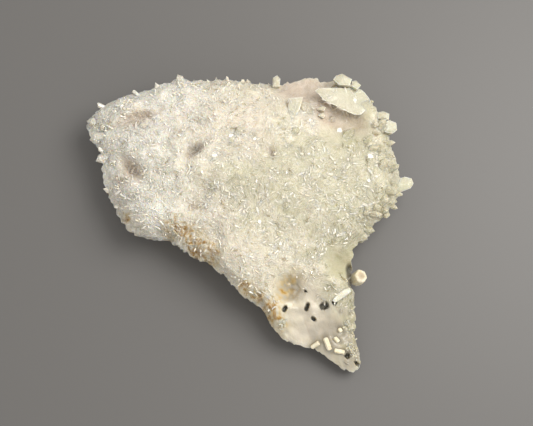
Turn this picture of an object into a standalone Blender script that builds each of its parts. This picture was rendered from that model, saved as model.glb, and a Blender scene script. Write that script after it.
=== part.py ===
"""A quartz cluster, 133 mm wide, lying on its flat underside.

The cluster is one intergrown plate: a massive quartz body, broken from the wall it grew on, with
quartz crystals lying over its top at low angles and standing out past its rim. Six small crystals of
a cream-coloured second mineral sit in sockets in the plate, each a separate piece, and a few empty
sockets show where others have dropped out.

Sizes are in millimetres until MM turns them to metres. +X is the plate's long way, +Y its short way,
+Z up, and the origin is on the resting face under the middle of the plate.
"""

import math

import bmesh
import bpy
import numpy as np
from mathutils import Matrix, Vector
from mathutils.geometry import delaunay_2d_cdt

MM = 0.001
SEED = 7

# The rim seen from above, as corners and gentle turns in order round the plate
RIM_POINTS = (
    (61.0, 13.8), (59.4, 25.0), (57.8, 31.0), (55.4, 38.6), (51.4, 46.6), (45.8, 53.4),
    (41.4, 57.0), (35.4, 58.6), (31.4, 57.8), (27.4, 59.4), (21.0, 59.0), (13.8, 56.6),
    (2.2, 56.6), (-4.6, 57.4), (-16.6, 57.8), (-23.8, 57.8), (-29.0, 59.8), (-33.8, 57.0),
    (-42.6, 53.8), (-51.0, 51.0), (-59.4, 47.4), (-65.4, 43.0), (-66.2, 39.8), (-64.6, 33.0),
    (-61.4, 29.0), (-60.2, 23.0), (-58.2, 13.8), (-55.0, 6.2), (-51.8, 0.6), (-49.4, -4.2),
    (-43.8, -6.6), (-36.6, -7.4), (-31.8, -8.2), (-25.4, -13.4), (-19.8, -16.6), (-15.8, -17.4),
    (-9.4, -23.0), (-2.6, -30.6), (5.0, -35.0), (9.0, -42.2), (13.4, -47.4), (21.4, -50.6),
    (25.8, -50.2), (32.2, -55.4), (38.2, -59.4), (41.8, -60.2), (44.6, -57.8), (44.2, -52.6),
    (42.2, -46.6), (42.2, -39.0), (42.2, -31.8), (41.4, -25.0), (41.4, -16.6), (41.4, -12.6),
    (43.8, -9.0), (47.8, -7.4), (49.0, -3.4), (54.2, 1.8), (59.4, 7.8),
)
HEART = (0.2, 12.2)  # the point that sees the whole rim, which the rings run round

# Heights of the body
PLATE_TOP = 19.5
EDGE_DROP = 4.5  # how far the top falls away towards the rim
EDGE_START = 0.74  # share of the way out where that fall begins
RIM_LOW = 0.40  # height of the overhanging rim's underside, as a share of the top's height there
RESTING_SHARE = 0.70  # of the way out, where the flat underside ends
RIM_COUNT = 90  # points round the rim
TOP_STEP = 4.4  # spacing of the points that carry the top
TAIL_ROOT = (27.0, -20.0)
TAIL_TIP = (42.0, -59.0)
TAIL_DROP = 9.0

# Broad swells of the top: x, y, radius, rise
SWELLS = (
    (-45.0, 31.0, 12.0, 6.0), (-26.0, 22.0, 15.0, 7.5), (0.0, 20.0, 24.0, 8.0),
    (31.0, 10.0, 20.0, 5.5), (-40.0, 6.0, 11.0, 5.0), (-3.0, -12.0, 13.0, 4.5),
    (50.0, 44.0, 8.0, 4.0), (-50.0, 47.0, 9.0, 4.0), (52.0, 18.0, 11.0, 4.0),
    (-12.0, 47.0, 22.0, 4.0),
)
# Hollows in the top: x, y, half length, half width, bearing of the length in degrees, depth
HOLLOWS = (
    (-44.0, 43.0, 11.0, 3.0, 8.0, 5.0), (-37.0, 24.0, 7.0, 3.4, -52.0, 8.0),
    (-17.5, 32.0, 5.5, 2.2, 42.0, 5.0), (38.0, 40.0, 14.0, 4.2, -27.0, 7.0),
    (15.5, -28.0, 4.6, 3.6, 60.0, 3.5), (34.0, -44.0, 6.0, 5.0, 0.0, 2.5),
    (37.0, -17.0, 5.0, 3.6, -30.0, 3.5), (-22.0, 4.0, 3.5, 2.4, 0.0, 2.5),
    (-25.0, -4.0, 4.2, 2.6, -35.0, 2.5), (21.0, 54.0, 9.0, 4.0, 0.0, 2.5),
)

# Large crystals, each from its root to its tip: root x, y, tip x, y, rise of the tip above the top
# there, width, thickness as a share of the width, slant of the tip
LARGE_CRYSTALS = (
    (53.5, 43.6, 26.2, 51.8, 6.0, 13.0, 0.50, 0.4),  # the broad straw-coloured blade
    (41.0, 47.0, 37.0, 58.4, 3.0, 5.5, 0.90, 0.2),
    (45.0, 44.0, 45.5, 53.5, 3.5, 5.0, 0.85, -0.2),
    (47.0, 36.0, 59.6, 38.6, 1.0, 5.0, 0.90, 0.1),
    (44.0, 38.5, 57.0, 43.0, 0.0, 4.0, 0.90, 0.1),
    (50.0, 9.0, 66.2, 14.6, 0.0, 5.6, 0.95, 0.0),  # the point that reaches furthest out
    (15.4, 48.5, 15.4, 58.6, 0.5, 2.6, 1.00, 0.0),
    (26.5, 38.0, 20.5, 48.0, 3.5, 5.4, 0.80, 0.3),
    (32.6, -32.2, 40.4, -26.8, 1.2, 3.6, 0.75, 0.0),
    (36.0, 29.0, 42.0, 37.5, 4.0, 6.0, 0.90, 0.0),
    (44.0, 27.0, 49.5, 33.5, 4.5, 5.0, 0.90, 0.2),
    (46.0, 20.0, 52.5, 26.0, 3.0, 5.0, 0.80, 0.0),
    (31.0, 38.0, 34.0, 42.5, 4.5, 3.6, 0.80, 0.1),
    (-10.0, 27.0, -2.0, 35.0, 3.5, 4.2, 0.90, 0.0),
    (-16.0, 22.0, -5.0, 31.0, 3.0, 3.8, 0.80, 0.2),
    (-26.0, 52.0, -29.4, 59.95, 1.0, 3.6, 0.90, 0.0),
    (-52.0, 34.0, -64.8, 33.4, 1.0, 5.0, 0.90, 0.2),
    (-54.0, 27.0, -62.0, 24.0, 0.5, 4.4, 0.90, 0.0),
    (-57.0, 38.6, -66.2, 41.0, 0.5, 4.8, 0.90, 0.0),
    (-46.0, 33.0, -40.0, 37.5, 3.5, 4.4, 0.90, 0.0),
    (14.0, 30.0, 20.0, 36.0, 3.0, 4.4, 0.90, 0.1),
    (8.0, -2.0, 16.0, 6.0, 2.5, 4.0, 0.80, 0.0),
    (30.0, 0.0, 40.0, 5.0, 2.5, 4.0, 0.80, 0.1),
    (-6.0, 8.0, -16.0, 13.0, 2.5, 4.0, 0.80, 0.0),
    (40.0, -2.0, 50.0, -4.8, 0.5, 3.6, 0.90, 0.1),
)
# Places kept clear of the scattered crystals: x, y, radius
SMOOTH_PLACES = (
    (22.0, 55.5, 9.0), (38.0, 40.0, 9.0), (22.0, -38.0, 11.0), (32.0, -46.0, 12.0),
    (42.0, -54.0, 8.0), (16.0, -28.0, 6.0), (37.0, -17.0, 6.0),
)
FIELD_STEP = 7.9  # spacing of the scattered crystals
RIM_CRYSTALS = 46
FARTHEST = (66.2, 59.9)  # no crystal of the rim passes this far along X or Y from the middle
RIM_ROOT = 3.4  # how far inside the rim they start
BROKEN_SIDE = (3.40, 5.80)  # the bearings between which the rim is broken and bare, in radians
SINK = 2.6  # how deep a crystal's root goes into the body
ROUGHNESS = 0.8  # how far a corner of the top stands off its broad shape
BREAKAGE = 0.030  # how far a corner of the broken side stands off its ring, as a share of the way out

# Cream crystals: name, root x, y, z, tip x, y, z, width. The z of the rods is above the top there.
CREAM_PRISM = ("cream_prism", (38.8, -23.6, 6.2), (45.0, -21.8, 15.4), 6.2)
CREAM_RODS = (
    ("cream_rod_left", (24.6, -50.2), (27.8, -48.2), 1.9),
    ("cream_rod_long", (30.0, -46.4), (32.0, -51.4), 2.2),
    ("cream_rod_low", (33.6, -51.4), (38.0, -52.2), 1.9),
    ("cream_rod_short", (33.8, -46.2), (35.6, -48.2), 1.7),
    ("cream_rod_upper", (35.6, -42.6), (36.6, -44.2), 1.7),
)
SOCKET_GAP = 0.3  # clearance between a cream crystal and its socket
# Empty sockets: x, y, length, width, bearing of the length in degrees
EMPTY_SOCKETS = (
    (14.0, -35.4, 2.4, 1.3, 58.0), (22.8, -34.6, 3.0, 1.3, 68.0), (29.6, -34.2, 3.2, 2.3, 20.0),
    (33.6, -32.8, 1.7, 1.4, 30.0), (25.4, -39.2, 1.8, 1.2, -30.0), (22.2, -28.6, 1.6, 1.0, 0.0),
    (39.0, -53.4, 1.9, 1.7, 50.0),
)
SOCKET_DEPTH = 2.6

QUARTZ = ("quartz", (0.80, 0.76, 0.66, 1.0), 0.30)
CREAM = ("cream_mineral", (0.78, 0.70, 0.52, 1.0), 0.75)


def clear_scene():
    for obj in list(bpy.data.objects):
        bpy.data.objects.remove(obj, do_unlink=True)


def material(name, colour, roughness):
    made = bpy.data.materials.new(name)
    made.use_nodes = True
    shader = made.node_tree.nodes["Principled BSDF"]
    shader.inputs["Base Color"].default_value = colour
    shader.inputs["Roughness"].default_value = roughness
    shader.inputs["Metallic"].default_value = 0.0
    return made


def rim_reach(bearing):
    """How far the rim is from HEART along each bearing, in radians, read straight between its points."""
    points = np.array(RIM_POINTS) - HEART
    at = np.mod(np.arctan2(points[:, 1], points[:, 0]), 2 * math.pi)
    order = np.argsort(at)
    return np.interp(bearing, at[order], np.hypot(*points.T)[order], period=2 * math.pi)


def way_out(x, y):
    """The share of the way from HEART to the rim at which a point lies: 1 on the rim."""
    dx, dy = x - HEART[0], y - HEART[1]
    return np.hypot(dx, dy) / rim_reach(np.arctan2(dy, dx))


def top_height(x, y):
    """Height of the body's top: a level plate with round swells and long hollows, which falls
    towards its rim and along its tail."""
    height = np.full_like(x, PLATE_TOP, dtype=float)
    for sx, sy, radius, rise in SWELLS:
        height += rise * np.exp(-((x - sx) ** 2 + (y - sy) ** 2) / radius**2)
    for hx, hy, length, width, bearing, depth in HOLLOWS:
        turn = math.radians(bearing)
        along = ((x - hx) * math.cos(turn) + (y - hy) * math.sin(turn)) / length
        across = ((y - hy) * math.cos(turn) - (x - hx) * math.sin(turn)) / width
        height -= depth * np.exp(-(along**2) - across**2)
    tail = np.subtract(TAIL_TIP, TAIL_ROOT)
    share = ((x - TAIL_ROOT[0]) * tail[0] + (y - TAIL_ROOT[1]) * tail[1]) / (tail @ tail)
    height -= TAIL_DROP * np.clip(share, 0, 1)
    edge = np.clip((way_out(x, y) - EDGE_START) / (1 - EDGE_START), 0, 1)
    return height - EDGE_DROP * edge**2


def rough_share(x, y):
    """How rough the top is: 1 over most of it, falling to 0 in the places kept smooth."""
    share = np.ones_like(x, dtype=float)
    for px, py, radius in SMOOTH_PLACES:
        share = np.minimum(share, np.clip(np.hypot(x - px, y - py) / radius - 0.6, 0, 1))
    return share


def spray(x, y):
    """Which swell a crystal grows from: the bearing away from the nearest one's middle, in radians,
    and how far out on it the crystal is, from 0 at the middle to 1."""
    swells = np.array(SWELLS)
    dx, dy = x[:, None] - swells[:, 0], y[:, None] - swells[:, 1]
    away = np.hypot(dx, dy) / swells[:, 2]
    nearest = np.argmin(away, axis=1)
    row = np.arange(x.size)
    return np.arctan2(dy[row, nearest], dx[row, nearest]), np.clip(away[row, nearest], 0, 1)


def rim_bearings():
    """Bearings of points spread evenly along the rim's length, so that the long tail gets its share."""
    fine = np.linspace(0, 2 * math.pi, 2000)
    reach = rim_reach(fine)
    steps = np.hypot(np.diff(reach * np.cos(fine)), np.diff(reach * np.sin(fine)))
    run = np.concatenate([[0.0], np.cumsum(steps)])
    return np.interp(np.linspace(0, run[-1], RIM_COUNT, endpoint=False), run, fine)


def ring(bearings, share):
    """The rim drawn in towards HEART to a share of the way out."""
    reach = rim_reach(bearings) * share
    return HEART[0] + reach * np.cos(bearings), HEART[1] + reach * np.sin(bearings)


def triangular_grid(step):
    """Points over the whole plate, each step away from its six neighbours."""
    x, y = np.meshgrid(np.arange(-70, 70, step), np.arange(-62, 62, step * 0.866))
    x[1::2] += step / 2
    return x.ravel(), y.ravel()


def body_mesh():
    """The body: a top triangulated over an even grid inside the rim, and under it rings that run in
    below the overhanging rim to the resting face."""
    bearings = rim_bearings()
    rim_x, rim_y = ring(bearings, 1.0)
    x, y = triangular_grid(TOP_STEP)
    inside = way_out(x, y) < 1 - 0.55 * TOP_STEP / rim_reach(np.arctan2(y - HEART[1], x - HEART[0]))
    x, y = np.append(rim_x, x[inside]), np.append(rim_y, y[inside])
    flat = [Vector((px, py)) for px, py in zip(x, y)]
    around = list(range(RIM_COUNT))
    found = delaunay_2d_cdt(flat, [], [around], 1, 1e-4)
    flat, faces = found[0], found[2]
    x, y = np.array([v.x for v in flat]), np.array([v.y for v in flat])

    rng = np.random.default_rng(SEED + 1)
    height = top_height(x, y)
    height[RIM_COUNT:] += rng.uniform(-ROUGHNESS, ROUGHNESS, x.size - RIM_COUNT) * rough_share(x, y)[RIM_COUNT:]

    # The rim's lowest line wanders up and down, as a broken edge does
    wander = 1 + 0.25 * np.sin(5 * bearings + 0.7) + 0.15 * np.sin(11 * bearings + 2.1)
    low = RIM_LOW * wander * rng.uniform(0.8, 1.2, RIM_COUNT) * top_height(rim_x, rim_y)
    chips = rng.uniform(-BREAKAGE, 0, (2, RIM_COUNT))
    resting_edge = RESTING_SHARE * (1 + 0.04 * np.sin(9 * bearings) + chips[0])

    bm = bmesh.new()
    top = [bm.verts.new((px * MM, py * MM, pz * MM)) for px, py, pz in zip(x, y, height)]
    for face in faces:
        bm.faces.new([top[i] for i in face])
    loops = [top[:RIM_COUNT]]
    middle = 0.5 + 0.5 * resting_edge + chips[1]
    for share, height in ((0.99 + chips[0], low), (middle, 0.4 * low), (resting_edge, 0 * low)):
        x, y = ring(bearings, share)
        loops.append([bm.verts.new((px * MM, py * MM, pz * MM)) for px, py, pz in zip(x, y, height)])
    for high, below in zip(loops, loops[1:]):
        for i in around:
            after = (i + 1) % RIM_COUNT
            bm.faces.new((below[i], below[after], high[after], high[i]))
    bm.faces.new(reversed(loops[-1]))
    bmesh.ops.recalc_face_normals(bm, faces=bm.faces)
    mesh = bpy.data.meshes.new("quartz_body")
    bm.to_mesh(mesh)
    bm.free()
    return mesh


def crystal_mesh(name, root, tip, width, thickness=1.0, slant=0.0, roll=0.0, blunt=False):
    """A six-sided crystal from root to tip, in millimetres: a point at the root, which is buried, a
    shaft that narrows a little, and a pyramid whose apex may stand off the axis by slant. A blunt one
    ends in a flat face at both ends."""
    axis = Vector(tip) - Vector(root)
    length = axis.length
    turn = axis.to_track_quat("Z", "Y").to_matrix().to_4x4()
    place = Matrix.Translation(Vector(root) * MM) @ turn @ Matrix.Rotation(roll, 4, "Z")
    shoulder = length if blunt else length - min(0.8 * width * thickness + 0.15 * width, 0.55 * length)
    bm = bmesh.new()
    rings = []
    for radius, level in ((0.5 * width, 0.0 if blunt else 0.2 * length), (0.46 * width, shoulder)):
        corners = [math.radians(60 * k) for k in range(6)]
        rings.append([
            bm.verts.new((
                radius * math.cos(a) * MM, radius * thickness * math.sin(a) * MM, level * MM
            ))
            for a in corners
        ])
    for i in range(6):
        after = (i + 1) % 6
        bm.faces.new((rings[0][i], rings[0][after], rings[1][after], rings[1][i]))
    if blunt:
        bm.faces.new(reversed(rings[0]))
        bm.faces.new(rings[1])
    else:
        bottom = bm.verts.new((0.0, 0.0, 0.0))
        apex = bm.verts.new((slant * 0.5 * width * MM, 0.0, length * MM))
        for i in range(6):
            bm.faces.new((rings[0][(i + 1) % 6], rings[0][i], bottom))
            bm.faces.new((rings[1][i], rings[1][(i + 1) % 6], apex))
    bmesh.ops.transform(bm, matrix=place, verts=bm.verts)
    bmesh.ops.recalc_face_normals(bm, faces=bm.faces)
    mesh = bpy.data.meshes.new(name)
    bm.to_mesh(mesh)
    bm.free()
    return mesh


def height_at(x, y):
    return float(top_height(np.array([x]), np.array([y]))[0])


def large_crystals():
    """The crystals whose places are known, as (root, tip, width, thickness, slant, roll)."""
    made = []
    for rx, ry, tx, ty, rise, width, thickness, slant in LARGE_CRYSTALS:
        root = (rx, ry, height_at(rx, ry) - SINK)
        out = min(1.0, 0.97 / float(way_out(np.array([tx]), np.array([ty]))[0]))
        edge = (HEART[0] + (tx - HEART[0]) * out, HEART[1] + (ty - HEART[1]) * out)
        tip = (tx, ty, height_at(*edge) + rise)
        made.append((root, tip, width, thickness, slant, 0.0))
    return made


def field_crystals(rng):
    """Crystals scattered over the top on a jittered triangular grid. They fan out from the middle of
    each swell, steeper there and lower further out."""
    x, y = triangular_grid(FIELD_STEP)
    x = x + rng.uniform(-2.2, 2.2, x.size)
    y = y + rng.uniform(-2.2, 2.2, y.size)
    keep = way_out(x, y) < 0.93
    for px, py, radius in SMOOTH_PLACES:
        keep &= np.hypot(x - px, y - py) > radius
    x, y = x[keep], y[keep]
    away, share = spray(x, y)
    bearing = away + rng.normal(0, 0.75, x.size)
    lift = np.radians(rng.uniform(16, 38, x.size) + 18 * (1 - share))
    length = rng.uniform(8.5, 13.5, x.size)
    width = rng.uniform(2.9, 5.4, x.size)
    roll = rng.uniform(0, math.pi / 3, x.size)
    root = np.stack([x, y, top_height(x, y) - SINK], 1)
    axis = np.stack([np.cos(bearing) * np.cos(lift), np.sin(bearing) * np.cos(lift), np.sin(lift)], 1)
    tip = root + axis * length[:, None]
    inside = way_out(tip[:, 0], tip[:, 1]) < 0.985
    slant = rng.uniform(-0.3, 0.3, x.size)
    return [
        (root[i], tip[i], width[i], 0.85, slant[i], roll[i]) for i in range(x.size) if inside[i]
    ]


def rim_crystals(rng):
    """Short crystals standing out of the rim, spread evenly round it but for its broken side."""
    count = RIM_CRYSTALS
    bearing = (np.arange(count) + rng.uniform(-0.3, 0.3, count)) * 2 * math.pi / count
    turn = bearing + rng.uniform(-0.5, 0.5, count)
    lift = rng.uniform(0.0, 0.5, count)
    length = rng.uniform(4.0, 6.0, count)
    width = rng.uniform(2.2, 3.6, count)
    roll = rng.uniform(0, math.pi / 3, count)
    reach = rim_reach(bearing) - RIM_ROOT
    x, y = HEART[0] + reach * np.cos(bearing), HEART[1] + reach * np.sin(bearing)
    root = np.stack([x, y, top_height(x, y) - SINK], 1)
    axis = np.stack([np.cos(turn) * np.cos(lift), np.sin(turn) * np.cos(lift), np.sin(lift)], 1)
    tip = root + axis * length[:, None]
    keep = (np.abs(tip[:, :2]) < FARTHEST).all(axis=1)
    keep &= (bearing < BROKEN_SIDE[0]) | (bearing > BROKEN_SIDE[1])
    return [(root[i], tip[i], width[i], 0.9, 0.0, roll[i]) for i in np.flatnonzero(keep)]


def helper_collection(name):
    made = bpy.data.collections.new(name)
    bpy.context.scene.collection.children.link(made)
    return made


def add_helper(collection, name, mesh):
    """A shape that is only joined to or cut from another, so it is drawn as wire and not rendered."""
    obj = bpy.data.objects.new(name, mesh)
    collection.objects.link(obj)
    obj.hide_render = True
    obj.display_type = "WIRE"
    return obj


def boolean(obj, name, operation, collection):
    made = obj.modifiers.new(name, "BOOLEAN")
    made.operation = operation
    made.solver = "EXACT"
    made.operand_type = "COLLECTION"
    made.collection = collection


def add_piece(name, mesh, finish):
    obj = bpy.data.objects.new(name, mesh)
    bpy.context.scene.collection.objects.link(obj)
    obj.data.materials.append(finish)
    return obj


def rod_ends(root_xy, tip_xy, width):
    """A cream rod lies half sunk, its axis just over the top of the quartz at each end."""
    lift = 0.15 * width
    return [(x, y, height_at(x, y) + lift) for x, y in (root_xy, tip_xy)]


def grown(root, tip, gap):
    """The same ends moved apart by gap."""
    root, tip = Vector(root), Vector(tip)
    step = (tip - root).normalized() * gap
    return root - step, tip + step


def build():
    clear_scene()
    quartz, cream = material(*QUARTZ), material(*CREAM)
    rng = np.random.default_rng(SEED)

    cluster = add_piece("quartz_cluster", body_mesh(), quartz)
    crystals = helper_collection("crystals")
    shapes = large_crystals() + field_crystals(rng) + rim_crystals(rng)
    for number, (root, tip, width, thickness, slant, roll) in enumerate(shapes):
        name = f"crystal_{number}"
        add_helper(crystals, name, crystal_mesh(name, root, tip, width, thickness, slant, roll))
    boolean(cluster, "grown together", "UNION", crystals)

    sockets = helper_collection("sockets")
    pieces = [CREAM_PRISM]
    for name, root_xy, tip_xy, width in CREAM_RODS:
        pieces.append((name, *rod_ends(root_xy, tip_xy, width), width))
    for name, root, tip, width in pieces:
        add_piece(name, crystal_mesh(name, root, tip, width, 0.9, blunt=True), cream)
        cutter = crystal_mesh(name + "_socket", *grown(root, tip, SOCKET_GAP), width + 2.4 * SOCKET_GAP, 0.9,
                              blunt=True)
        add_helper(sockets, name + "_socket", cutter)
    for number, (x, y, length, width, bearing) in enumerate(EMPTY_SOCKETS):
        turn = math.radians(bearing)
        top = height_at(x, y)
        lean = (0.5 * math.cos(turn), 0.5 * math.sin(turn))
        name = f"empty_socket_{number}"
        cutter = crystal_mesh(name, (x - lean[0], y - lean[1], top - SOCKET_DEPTH),
                              (x + lean[0], y + lean[1], top + SOCKET_DEPTH), length, width / length,
                              roll=0.0, blunt=True)
        add_helper(sockets, name, cutter)
    boolean(cluster, "sockets", "DIFFERENCE", sockets)


build()
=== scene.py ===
import math

import bpy
import numpy as np
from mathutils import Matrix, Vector


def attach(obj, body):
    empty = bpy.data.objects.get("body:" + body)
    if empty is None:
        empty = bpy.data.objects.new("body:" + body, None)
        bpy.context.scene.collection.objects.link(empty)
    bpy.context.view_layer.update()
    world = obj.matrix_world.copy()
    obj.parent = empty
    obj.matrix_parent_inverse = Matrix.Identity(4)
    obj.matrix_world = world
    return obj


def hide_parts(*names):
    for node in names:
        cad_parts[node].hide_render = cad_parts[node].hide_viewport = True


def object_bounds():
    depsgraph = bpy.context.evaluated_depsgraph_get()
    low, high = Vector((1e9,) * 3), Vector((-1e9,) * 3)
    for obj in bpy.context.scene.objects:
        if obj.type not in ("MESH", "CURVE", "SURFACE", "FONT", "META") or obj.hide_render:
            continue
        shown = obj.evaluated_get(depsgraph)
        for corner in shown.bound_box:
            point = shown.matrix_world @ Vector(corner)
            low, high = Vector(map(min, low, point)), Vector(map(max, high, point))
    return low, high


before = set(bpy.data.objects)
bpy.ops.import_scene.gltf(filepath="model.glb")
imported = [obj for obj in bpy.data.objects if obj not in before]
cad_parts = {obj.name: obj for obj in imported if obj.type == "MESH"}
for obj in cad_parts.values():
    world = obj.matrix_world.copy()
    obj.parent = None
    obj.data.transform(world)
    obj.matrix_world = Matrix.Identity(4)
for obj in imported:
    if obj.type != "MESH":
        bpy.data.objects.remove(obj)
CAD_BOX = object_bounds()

bl_info = {
    "name": "Quartz cluster",
    "version": (1, 0, 0),
    "blender": (4, 5, 0),
    "location": "3D View > Sidebar > Quartz",
    "description": "Dresses a quartz plate with its ground, needles, large points and cream crystals",
    "category": "Add Mesh",
}

# Plate and crystals are worked out in millimetres, and MM turns them to metres.
# +X is the plate's long way, +Y its short way away from the tail, +Z up from the resting face.
MM = 0.001
SEED = 7

# The plate's rim from above, as corners and gentle turns in order round it
RIM_POINTS = (
    (61, 13.8), (59.4, 25), (57.8, 31), (55.4, 38.6), (51.4, 46.6), (45.8, 53.4),
    (41.4, 57), (35.4, 58.6), (31.4, 57.8), (27.4, 59.4), (21, 59), (13.8, 56.6),
    (2.2, 56.6), (-4.6, 57.4), (-16.6, 57.8), (-23.8, 57.8), (-29, 59.8), (-33.8, 57),
    (-42.6, 53.8), (-51, 51), (-59.4, 47.4), (-65.4, 43), (-66.2, 39.8), (-64.6, 33),
    (-61.4, 29), (-60.2, 23), (-58.2, 13.8), (-55, 6.2), (-51.8, 0.6), (-49.4, -4.2),
    (-43.8, -6.6), (-36.6, -7.4), (-31.8, -8.2), (-25.4, -13.4), (-19.8, -16.6), (-15.8, -17.4),
    (-9.4, -23), (-2.6, -30.6), (5, -35), (9, -42.2), (13.4, -47.4), (21.4, -50.6),
    (25.8, -50.2), (32.2, -55.4), (38.2, -59.4), (41.8, -60.2), (44.6, -57.8), (44.2, -52.6),
    (42.2, -46.6), (42.2, -39), (42.2, -31.8), (41.4, -25), (41.4, -16.6), (41.4, -12.6),
    (43.8, -9), (47.8, -7.4), (49, -3.4), (54.2, 1.8), (59.4, 7.8),
)
HEART = (0.2, 12.2)  # the point that sees the whole rim, which the rings run round

PLATE_TOP = 19.5
EDGE_DROP = 4.5  # fall of the top towards the rim
EDGE_START = 0.74  # share of the way out where that fall begins
RIM_LOW = 0.40  # height of the broken side's foot, as a share of the top's height there
RESTING_SHARE = 0.70  # share of the way out that rests on the ground
TAIL_ROOT = (27.0, -20.0)
TAIL_TIP = (42.0, -59.0)
TAIL_DROP = 9.0  # fall of the top from the tail's root to its tip

# Broad swells of the top: x, y, radius, rise
SWELLS = (
    (-45, 31, 12, 6), (-26, 22, 15, 7.5), (0, 20, 24, 8),
    (31, 10, 20, 5.5), (-40, 6, 11, 5), (-3, -12, 13, 4.5),
    (50, 44, 8, 4), (-50, 47, 9, 4), (52, 18, 11, 4),
    (-12, 47, 22, 4),
)
# Hollows of the solid's top, on which its crystals stand: x, y, half length, half width, bearing of the
# length in degrees, depth
HOLLOWS = (
    (-44, 43, 11, 3, 8, 5), (-37, 24, 7, 3.4, -52, 8),
    (-17.5, 32, 5.5, 2.2, 42, 5), (38, 40, 14, 4.2, -27, 7),
    (15.5, -28, 4.6, 3.6, 60, 3.5), (34, -44, 6, 5, 0, 2.5),
    (37, -17, 5, 3.6, -30, 3.5), (-22, 4, 3.5, 2.4, 0, 2.5),
    (-25, -4, 4.2, 2.6, -35, 2.5), (21, 54, 9, 4, 0, 2.5),
)
# Large crystals: root x, y, tip x, y, rise of the tip above the top there, width, thickness as a
# share of the width, slant of the tip
LARGE_CRYSTALS = (
    (53.5, 43.6, 26.2, 51.8, 6, 13, 0.50, 0.4), (41, 47, 37, 58.4, 3, 5.5, 0.90, 0.2),
    (45, 44, 45.5, 53.5, 3.5, 5, 0.85, -0.2), (47, 36, 59.6, 38.6, 1, 5, 0.90, 0.1),
    (44, 38.5, 57, 43, 0, 4, 0.90, 0.1), (50, 9, 66.2, 14.6, 0, 5.6, 0.95, 0),
    (15.4, 48.5, 15.4, 58.6, 0.5, 2.6, 1.00, 0), (26.5, 38, 20.5, 48, 3.5, 5.4, 0.80, 0.3),
    (32.6, -32.2, 40.4, -26.8, 1.2, 3.6, 0.75, 0), (36, 29, 42, 37.5, 4, 6, 0.90, 0),
    (44, 27, 49.5, 33.5, 4.5, 5, 0.90, 0.2), (46, 20, 52.5, 26, 3, 5, 0.80, 0),
    (31, 38, 34, 42.5, 4.5, 3.6, 0.80, 0.1), (-10, 27, -2, 35, 3.5, 4.2, 0.90, 0),
    (-16, 22, -5, 31, 3, 3.8, 0.80, 0.2), (-26, 52, -29.4, 59.95, 1, 3.6, 0.90, 0),
    (-52, 34, -64.8, 33.4, 1, 5, 0.90, 0.2), (-54, 27, -62, 24, 0.5, 4.4, 0.90, 0),
    (-57, 38.6, -66.2, 41, 0.5, 4.8, 0.90, 0), (-46, 33, -40, 37.5, 3.5, 4.4, 0.90, 0),
    (14, 30, 20, 36, 3, 4.4, 0.90, 0.1), (8, -2, 16, 6, 2.5, 4, 0.80, 0),
    (30, 0, 40, 5, 2.5, 4, 0.80, 0.1), (-6, 8, -16, 13, 2.5, 4, 0.80, 0),
    (40, -2, 50, -4.8, 0.5, 3.6, 0.90, 0.1),
)
# Places where few needles grow and the massive quartz shows: x, y, radius
SMOOTH_PLACES = (
    (22, 55.5, 9), (38, 40, 9), (22, -38, 11), (32, -46, 12),
    (42, -54, 8), (16, -28, 6), (37, -17, 6),
)
FIELD_STEP = 7.9  # spacing of the solid's scattered crystals
RIM_CRYSTALS = 46
RIM_ROOT = 3.4  # how far inside the rim its crystals are rooted
FARTHEST = (66.2, 59.9)  # how far they may reach along x and y
BROKEN_SIDE = (3.40, 5.80)  # bearings between which none stand, in radians anticlockwise from east
SINK = 2.6  # how deep the solid's crystals are rooted
# The crystals that crowd the eastern rim: their number, the bearings between which they stand, how deep they
# are rooted, and the places that they leave clear, as x, y and radius
CROWD_COUNT = 42
CROWD_BEARINGS = (-0.22, 0.72)
CROWD_SINK = 2.2
CROWD_CLEARINGS = ((22, 56, 10), (46, 47, 7))

# Empty sockets in the tail: x, y, length, width, bearing of the length in degrees
EMPTY_SOCKETS = (
    (14, -35.4, 2.4, 1.3, 58), (22.8, -34.6, 3, 1.3, 68), (29.6, -34.2, 3.2, 2.3, 20),
    (33.6, -32.8, 1.7, 1.4, 30), (25.4, -39.2, 1.8, 1.2, -30), (22.2, -28.6, 1, 0.6, 0),
    (39, -53.4, 1.9, 1.7, 50), (43, -56.4, 2.6, 1, -40),
)
SOCKET_DEPTH = 2.6

# Bright flat ends of crystals that catch the light: x, y, width
BRIGHT_ENDS = (
    (36.1, 35.9, 3.2), (24.2, 39.4, 1.6), (47.8, 24, 3), (50.2, 15.8, 1.6), (47, 14, 1.6),
    (37.4, 2.6, 1.2), (20.8, 24.6, 1.6), (23.4, 24.8, 1.2), (42.4, 48.2, 1.8), (-18.3, 16.5, 1.8),
    (-7, 31, 2.4), (-13.4, 23, 3), (2.2, 30.2, 1.6), (-0.3, 25.8, 1.6), (2.9, 13.2, 1.6),
    (7.4, 8.2, 1.8), (4.1, -2.4, 1.8), (12.2, -10.6, 1.8), (-51.8, 12.2, 1.6), (-50.6, 44.6, 2),
    (-61.4, 43, 1.6), (53.8, -1.8, 1.4), (-6.2, -27.4, 1.4), (-3.8, 55, 1.4), (-8.2, 55, 1.4),
    (-63.8, 30.6, 1.4), (-30.2, -8.6, 1.2), (58.6, 37.4, 1.6),
)
SMALL_ENDS = 300
LIT_CRYSTALS = 3300  # tries, of which those in smooth places and hollows are dropped
# How far the bright ends, the small ends and the lit crystals stray from facing the light, in radians
NAMED_SPREAD, END_SPREAD, LIT_SPREAD = 0.005, 0.07, 0.19
LAMP_PLACE = (280.0, 120.0, 500.0)
LAMP_TARGET = (10.0, 0.0, 20.0)
WARM_WHITE = (1.0, 0.985, 0.955)
CAMERA_TARGET = (6.8, 3.0, 17.0)
CAMERA_PLACE = (6.8, -79.3, 483.8)

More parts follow.
